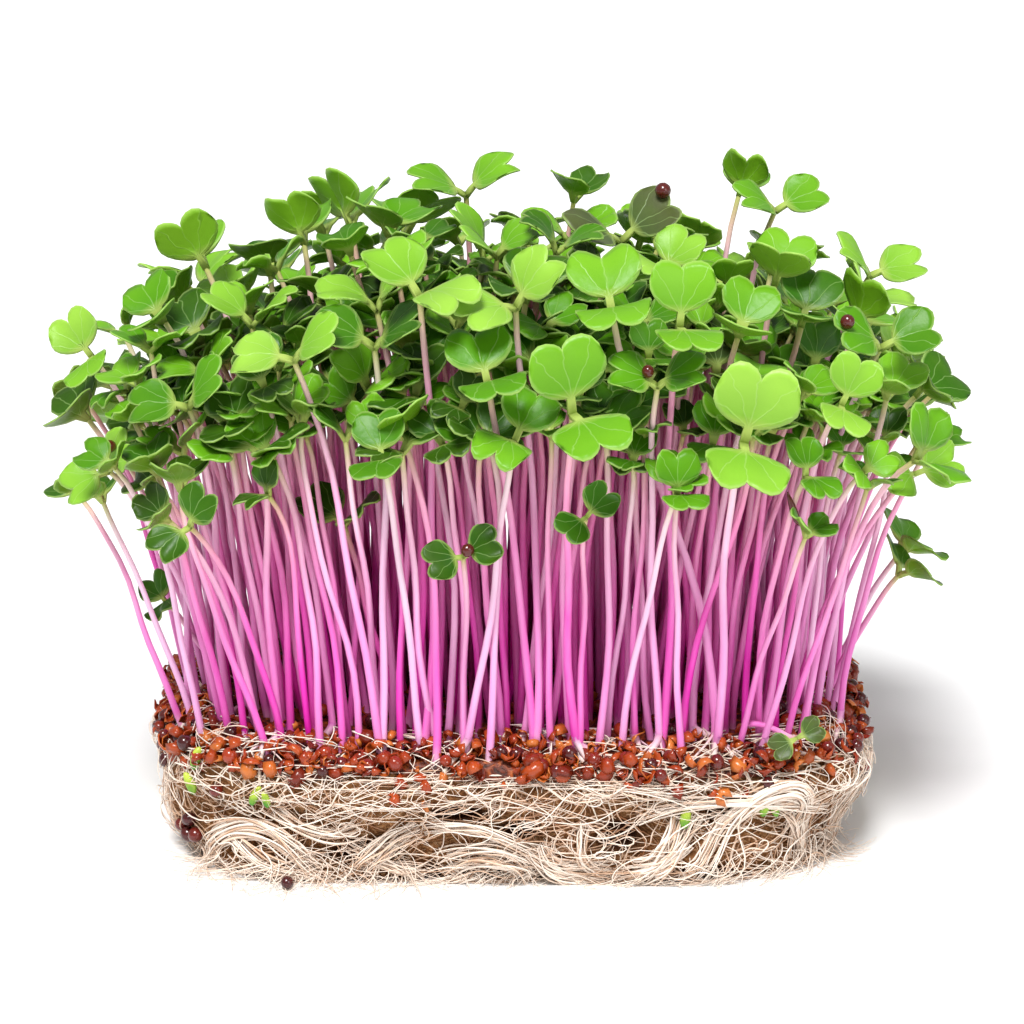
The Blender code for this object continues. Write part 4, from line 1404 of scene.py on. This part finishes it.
def hull_material():
    finish = Finish("hull_skin", 0.25, Specular_IOR_Level=0.5)
    colour = finish.ramp(
        finish.attribute("tone"),
        (0.0, (0.120, 0.010, 0.004)),
        (0.35, (0.300, 0.032, 0.005)),
        (0.70, (0.460, 0.072, 0.008)),
        (1.0, (0.660, 0.210, 0.038)),
    )
    mottle = finish.noise(900, 4)
    finish.bump(mottle, 0.5, 0.0002)
    return finish.colour(finish.mix(finish.times(mottle, 0.4), colour, (0.24, 0.028, 0.008)))


def bed_material():
    finish = Finish("bed_of_hulls", 0.4, Specular_IOR_Level=0.4)
    grains = finish.noise(800, 6, distortion=1.0)
    finish.bump(grains, 0.8, 0.0006)
    return finish.colour(finish.ramp(
        grains,
        (0.35, (0.022, 0.004, 0.002)),
        (0.52, (0.150, 0.024, 0.007)),
        (0.68, (0.42, 0.10, 0.018)),
    ))


# The stage: a pale floor, soft studio light and the camera

CAMERA_DISTANCE = 0.45
CAMERA_ELEVATION = math.radians(14.5)
CAMERA_TARGET = Vector((0, 0, 0.0437))
CAMERA_LENS = 111.6
SENSOR = 36.0
FLOOR_REACH = 30.0
SUN_STRENGTH = 3.8
SUN_WIDTH = math.radians(20)
SUN_WAY = (0.16, 0.62, -1.0)
WORLD_STRENGTH = 0.40


def build_floor():
    mesh = bpy.data.meshes.new("studio_floor")
    far = FLOOR_REACH
    mesh.from_pydata([(-far, -far, 0), (far, -far, 0), (far, far, 0), (-far, far, 0)], [], [(0, 1, 2, 3)])
    floor = new_object("studio_floor", mesh)
    finish = Finish("studio_floor", 0.9, Specular_IOR_Level=0.0)
    paper = finish.ramp(finish.noise(40, 2), (0.3, (0.90, 0.90, 0.90)), (0.7, (0.92, 0.92, 0.92)))
    mesh.materials.append(finish.colour(paper))


def build_light(name, place, size, power):
    data = bpy.data.lights.new(name, "AREA")
    data.shape = "DISK"
    data.size = size
    data.energy = power
    lamp = new_object(name, data)
    lamp.location = place
    lamp.rotation_euler = (CAMERA_TARGET - Vector(place)).to_track_quat("-Z", "Y").to_euler()


def build_studio():
    build_floor()
    data = bpy.data.lights.new("key", "SUN")
    data.energy = SUN_STRENGTH
    data.angle = SUN_WIDTH
    key = new_object("key", data)
    key.rotation_euler = Vector(SUN_WAY).to_track_quat("-Z", "Y").to_euler()
    build_light("fill", (0.7, -0.8, 0.45), 0.6, 2.5)
    world = bpy.data.worlds.new("studio")
    bpy.context.scene.world = world
    world.use_nodes = True
    background = world.node_tree.nodes["Background"]
    background.inputs["Color"].default_value = (1, 1, 1, 1)
    background.inputs["Strength"].default_value = WORLD_STRENGTH
    view = bpy.context.scene.view_settings
    view.view_transform = "Standard"
    view.look = "None"


def build_camera():
    data = bpy.data.cameras.new("photo_view")
    data.sensor_width = SENSOR
    data.lens = CAMERA_LENS
    camera = new_object("photo_view", data)
    back = Vector((0, -math.cos(CAMERA_ELEVATION), math.sin(CAMERA_ELEVATION)))
    camera.location = CAMERA_TARGET + back * CAMERA_DISTANCE
    camera.rotation_euler = (-back).to_track_quat("-Z", "Y").to_euler()
    bpy.context.scene.camera = camera


# How bright each seedling of SHOWN_BUNCHES is, in that order. The last one has aged to a purple brown.
SHOWN_TONES = (
    0.90, 0.30, 0.85, 0.50, 0.15, 0.95, 0.30, 0.95, 0.50, 0.50, 0.90, 0.75, 0.25, 0.10, 0.60,
    0.75, 0.55, 0.95, 0.80, 0.95, 0.40, 0.85, 0.50, 0.75, 0.70, 0.60, 0.80, 0.85, 0.45, 0.70, 0.70, 0.30,
)
AGED = 0.9
# Seeds that cling to leaves of those seedlings: which seedling, which leaf, and where along and across it
LEAF_SEEDS = (
    (31, 1, 0.93, 0.4),
    (13, 1, 0.30, 0.3),
    (16, -1, 0.35, 0.3),
    (22, -1, 0.90, 0.2),
    (2, 1, 0.60, 0.3),
)
HUSKED = 20
HUSK_PLACE = 0.86  # how far up its stem the husk hangs
LEAF_PIECES = 3
BRIGHT_SHARE = 0.35
BRIGHT_TONES = (0.80, 1.0)
OTHER_TONES = (0.15, 0.75)
# Painted shade: the lower a seedling stands under the canopy's top, the darker its leaves
LOW_PAINTED_SHADE = 0.42
PAINTED_SHADE_DROP = 0.015  # how far under the canopy's top a seedling is at its deepest painted shade
STEM_PAINTED_LIGHT = (0.22, 0.88)  # painted light and shade: paleness inside the block, where the stems stand in shade, and how much more at its lit edge
AGED_SHARE = 0.04
AGED_RANGE = (0.4, 0.9)
LYING_TONE = 0.25
LYING_AGE = 0.75


def lying_seedling():
    """A small dark seedling that lies on the hulls at the front."""
    root, crown = Vector((0.0320, -0.0285, 0.0215)), Vector((0.0380, -0.0330, 0.0210))
    sway, nod = Vector((0, 0, 0.001)), Vector((-0.9, -0.9, 0.7))
    rises, spreads = [math.radians(12), math.radians(14)], [0.0, 0.1]
    return Seedling(root, crown, sway, nod, 0.9, rises, spreads, 0.38)


def draw_tone(draw, seedling):
    """How bright a seedling's leaves are: some are yellow green, and the lower ones get painted shade."""
    tone = draw.uniform(*BRIGHT_TONES) if draw.random() < BRIGHT_SHARE else draw.uniform(*OTHER_TONES)
    x, y, z = seedling.crown
    return tone - LOW_PAINTED_SHADE * min(1.0, max(0.0, (crown_height(x, y) - z) / PAINTED_SHADE_DROP))


def stem_tone(draw, seedling):
    """How pale a stem is: random, with painted shade that keeps those inside the block the deeper ones and
    painted light that makes those at its edge paler.
    """
    x, y = seedling.root.xy
    outer = max(abs(2 * x / MAT_WIDTH), abs(2 * y / MAT_DEPTH)) ** 3
    inner_share, outer_share = STEM_PAINTED_LIGHT
    return draw.uniform(0, 1) ** 0.7 * (inner_share + outer_share * outer)


def main():
    rooms = Rooms()
    shown, drawn = plan_bunches(rooms)
    draw = random.Random(DRAW_SEED + 9)
    on_leaves = [
        shown[k].blade_point(way, along, across, SEED_RADIUS)
        for k, way, along, across in LEAF_SEEDS if shown[k]
    ]
    husk = np.array(shown[HUSKED].stem_point(HUSK_PLACE)) - np.array([0, 0.0008, 0])
    tones = [tone for seedling, tone in zip(shown, SHOWN_TONES) if seedling]
    shown = [seedling for seedling in shown if seedling]
    drawn = [seedling for seedling in drawn if seedling]
    large = len(shown) + len(drawn)
    ages = [0.0] * (len(shown) - 1) + [AGED]
    further = plan_between(rooms, [s.root for s in shown + drawn])
    for seedling in drawn + further:
        tones.append(draw_tone(draw, seedling))
        ages.append(draw.uniform(*AGED_RANGE) if draw.random() < AGED_SHARE else 0.0)
    seedlings = shown + drawn + further + [lying_seedling()]
    tones.append(LYING_TONE)
    ages.append(LYING_AGE)
    print("seedlings", len(seedlings), "of them in the solids", large)

    stems = build_stems(seedlings, [stem_tone(draw, seedling) for seedling in seedlings], stem_material())
    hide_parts(*[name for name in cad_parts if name.startswith("seedling_bunch")])
    leaf = leaf_material()
    blades = blade_arrays(seedlings, tones, ages)
    first = {key: value[:2 * large] for key, value in blades.items()}
    build_leaves("seed_leaves_1", first, FINE_ROWS, FINE_COLUMNS, leaf)
    for k in range(LEAF_PIECES - 1):
        some = {key: value[2 * large + k::LEAF_PIECES - 1] for key, value in blades.items()}
        build_leaves(f"seed_leaves_{k + 2}", some, PLAIN_ROWS, PLAIN_COLUMNS, leaf)

    felt = build_felt(felt_material())
    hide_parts("root_mat")
    strand = root_material("root_strand", (0.34, 0.135, 0.052), (0.74, 0.49, 0.33), (0.97, 0.85, 0.74))
    build_strands(strand)
    build_bundles(strand)
    build_loose_roots(strand)
    foot = root_material("root_foot", (0.60, 0.10, 0.46), (0.82, 0.56, 0.62), (0.92, 0.82, 0.68))
    build_feet(seedlings[:-1], foot)

    roots = np.array([tuple(s.root.xy) for s in seedlings[:-1]])
    seeds = build_seeds(roots, on_leaves, husk, seed_material())
    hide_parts("seed_hull_layer")
    build_hulls(hull_material())
    build_bed(bed_material())
    build_sprouts(sprout_material())

    build_studio()
    build_camera()


main()
